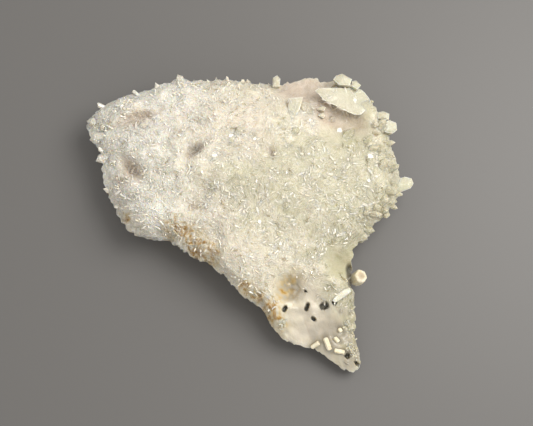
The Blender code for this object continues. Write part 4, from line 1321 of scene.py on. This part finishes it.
class QUARTZ_OT_needles(bpy.types.Operator):
    """Makes the sheaves of needles, clear, misty and milky, and the slivers along the bright edges"""

    bl_idname = "quartz.needles"
    bl_label = "Needles"

    def execute(self, context):
        sizes = context.scene.quartz_needles
        misty = bpy.data.materials["misty quartz"]
        milky = bpy.data.materials["milky quartz crystals"]
        sizes = [size / MM for size in (sizes.spacing, sizes.longest, sizes.widest)]
        root, tip, wide, kind, rng = needles(*sizes, SEED + 40)
        for name, low, high, finish in (("clear_needles", 0.0, 0.25, clear_finish()),
                                        ("misty_needles", 0.25, 0.4, misty),
                                        ("milky_needles", 0.4, 1.0, milky)):
            chosen = (kind >= low) & (kind < high)
            points = grow(root[chosen], tip[chosen], wide[chosen], rng)
            make_crystals(name, points, needle_values(root[chosen], tip[chosen], rng), finish)
        root, tip = edge_slivers(rng)
        points = grow(root, tip, rng.uniform(0.35, 0.6, len(root)), rng)
        make_crystals("bright_edges", points, needle_values(root, tip, rng), misty)
        return {"FINISHED"}


class QUARTZ_OT_glints(bpy.types.Operator):
    """Makes the flat ends and the slender crystals that catch the light"""

    bl_idname = "quartz.glints"
    bl_label = "Bright ends"

    def execute(self, context):
        rng = np.random.default_rng(SEED + 80)
        named = np.array(BRIGHT_ENDS)
        named = named[way_out(named[:, 0], named[:, 1]) < 0.95]
        limits = ((-62, 60), (-55, 56), (0.4, 1.3))  # of x, y and width
        small = np.stack([rng.uniform(low, high, SMALL_ENDS) for low, high in limits], 1)
        keep = (way_out(small[:, 0], small[:, 1]) < 0.9) & (rough_share(small[:, 0], small[:, 1]) > 0.3)
        x, y, size = np.concatenate([named, small[keep]]).T
        count = len(x)
        tip = np.stack([x, y, surface_height(x, y) + rng.uniform(0.15, 0.5, count)], 1)
        spread = np.where(np.arange(count) < len(named), NAMED_SPREAD, END_SPREAD)
        toward = half_way(tip, rng, spread[:, None])
        root = tip - toward * rng.uniform(2.0, 3.0, (count, 1))
        thickness, roll = rng.uniform(0.45, 0.95, count), rng.uniform(0, math.pi, count)
        level, flat = np.zeros(count), np.full(count, 0.04)
        points = crystal_points(root, tip, size, thickness, roll, level, flat, np.zeros((count, 6)))
        polished = polished_finish()
        make_crystals("bright_ends", points, {}, polished)
        make_crystals("lit_crystals", lit_crystals(rng), {}, polished)
        return {"FINISHED"}


def grain_points(rng):
    """Small stubby grains that crowd along the tail's eastern edge, standing at all angles."""
    spots = np.array(TAIL_GRAINS)[rng.integers(0, len(TAIL_GRAINS), GRAIN_COUNT)]
    away = rng.normal(0, 0.5, (GRAIN_COUNT, 2)) * spots[:, 2:]
    x, y = spots[:, 0] + away[:, 0], spots[:, 1] + away[:, 1]
    keep = way_out(x, y) < 0.97
    x, y = x[keep], y[keep]
    root = np.stack([x, y, ground_height(x, y) - 0.5], 1)
    heading = direction(rng.uniform(0, 2 * math.pi, x.size), rng.uniform(0.2, 1.4, x.size))
    tip = root + heading * rng.uniform(0.9, 1.7, (x.size, 1))
    return grow(root, tip, rng.uniform(0.5, 1.1, x.size), rng, heads=(0.2, 0.5))


class QUARTZ_OT_cream(bpy.types.Operator):
    """Makes the crystals of the cream mineral in their sockets"""

    bl_idname = "quartz.cream"
    bl_label = "Cream crystals"

    def execute(self, context):
        finish = cream_finish()
        grains = grain_points(np.random.default_rng(SEED + 90))
        values = {"green": 0.35, "straw": 0.4, "rough": 0.3}
        values = {key: np.full(len(grains), value) for key, value in values.items()}
        make_crystals("tail_grains", grains, values, bpy.data.materials["milky quartz crystals"])
        pieces = [CREAM_PRISM]
        for name, *ends, width in CREAM_RODS:
            heights = top_height(*np.array(ends).T) + 0.15 * width
            pieces.append((name, *[(*end, height) for end, height in zip(ends, heights)], width))
        for number, (name, root, tip, width) in enumerate(pieces):
            mesh = rod_mesh(name + "_grown", root, tip, width, 80 + 3 * number)
            make_piece(name + "_grown", mesh, finish, replaced=(name,))
        return {"FINISHED"}


class QUARTZ_OT_stage(bpy.types.Operator):
    """Sets the floor, the soft light and the camera that looks down on the plate"""

    bl_idname = "quartz.stage"
    bl_label = "Stage"

    def execute(self, context):
        settings = context.scene.quartz_stage
        bpy.ops.mesh.primitive_plane_add(size=6.0)
        floor = context.object
        floor.name = "floor"
        floor.data.materials.append(stage_finish(settings.floor_colour))

        key = bpy.data.lights.new("key", "AREA")
        key.shape, key.size, key.energy = "DISK", 0.40, settings.key_power
        spark = bpy.data.lights.new("spark", "AREA")
        spark.shape, spark.size, spark.energy = "DISK", 0.05, settings.spark_power
        for light in (key, spark):
            light.color = WARM_WHITE
            lamp = bpy.data.objects.new(light.name, light)
            lamp.location = Vector(LAMP_PLACE) * MM * (0.97 if light is spark else 1.0)
            aim = Vector(LAMP_TARGET) * MM - lamp.location
            lamp.rotation_euler = aim.to_track_quat("-Z", "Y").to_euler()
            context.scene.collection.objects.link(lamp)

        world = bpy.data.worlds.new("even light")
        world.use_nodes = True
        world.node_tree.nodes["Background"].inputs["Color"].default_value = (*WARM_WHITE, 1.0)
        world.node_tree.nodes["Background"].inputs["Strength"].default_value = settings.fill
        context.scene.world = world

        lens = bpy.data.cameras.new("camera")
        lens.sensor_width, lens.lens = 36.0, 80.0
        camera = bpy.data.objects.new("camera", lens)
        target = Vector(CAMERA_TARGET) * MM
        back = Vector((0.0, -math.cos(settings.elevation), math.sin(settings.elevation)))
        camera.location = target + back * settings.distance
        camera.rotation_euler = (-back).to_track_quat("-Z", "Y").to_euler()
        context.scene.collection.objects.link(camera)
        context.scene.camera = camera
        context.scene.view_settings.view_transform = "Standard"
        for kind, bounces in (("max", 40), ("transmission", 40), ("glossy", 20), ("diffuse", 14)):
            setattr(context.scene.cycles, kind + "_bounces", bounces)
        return {"FINISHED"}


class QUARTZ_PT_pieces(bpy.types.Panel):
    """Lists the pieces and their sizes in the sidebar"""

    bl_label = "Quartz cluster"
    bl_space_type = "VIEW_3D"
    bl_region_type = "UI"
    bl_category = "Quartz"

    def draw(self, context):
        for group in (context.scene.quartz_needles, context.scene.quartz_stage):
            for name in group.__annotations__:
                self.layout.prop(group, name)
        for piece in PIECES:
            self.layout.operator(piece.bl_idname)


PIECES = (QUARTZ_OT_ground, QUARTZ_OT_points, QUARTZ_OT_needles, QUARTZ_OT_glints, QUARTZ_OT_cream,
          QUARTZ_OT_stage)
CLASSES = (QuartzNeedleSettings, QuartzStageSettings, *PIECES, QUARTZ_PT_pieces)


def register():
    for item in CLASSES:
        bpy.utils.register_class(item)
    bpy.types.Scene.quartz_needles = bpy.props.PointerProperty(type=QuartzNeedleSettings)
    bpy.types.Scene.quartz_stage = bpy.props.PointerProperty(type=QuartzStageSettings)


def unregister():
    del bpy.types.Scene.quartz_stage
    del bpy.types.Scene.quartz_needles
    for item in reversed(CLASSES):
        bpy.utils.unregister_class(item)


def main():
    register()
    bpy.ops.quartz.ground()
    bpy.ops.quartz.points()
    bpy.ops.quartz.needles()
    bpy.ops.quartz.glints()
    bpy.ops.quartz.cream()
    bpy.ops.quartz.stage()


if __name__ == "__main__":
    main()
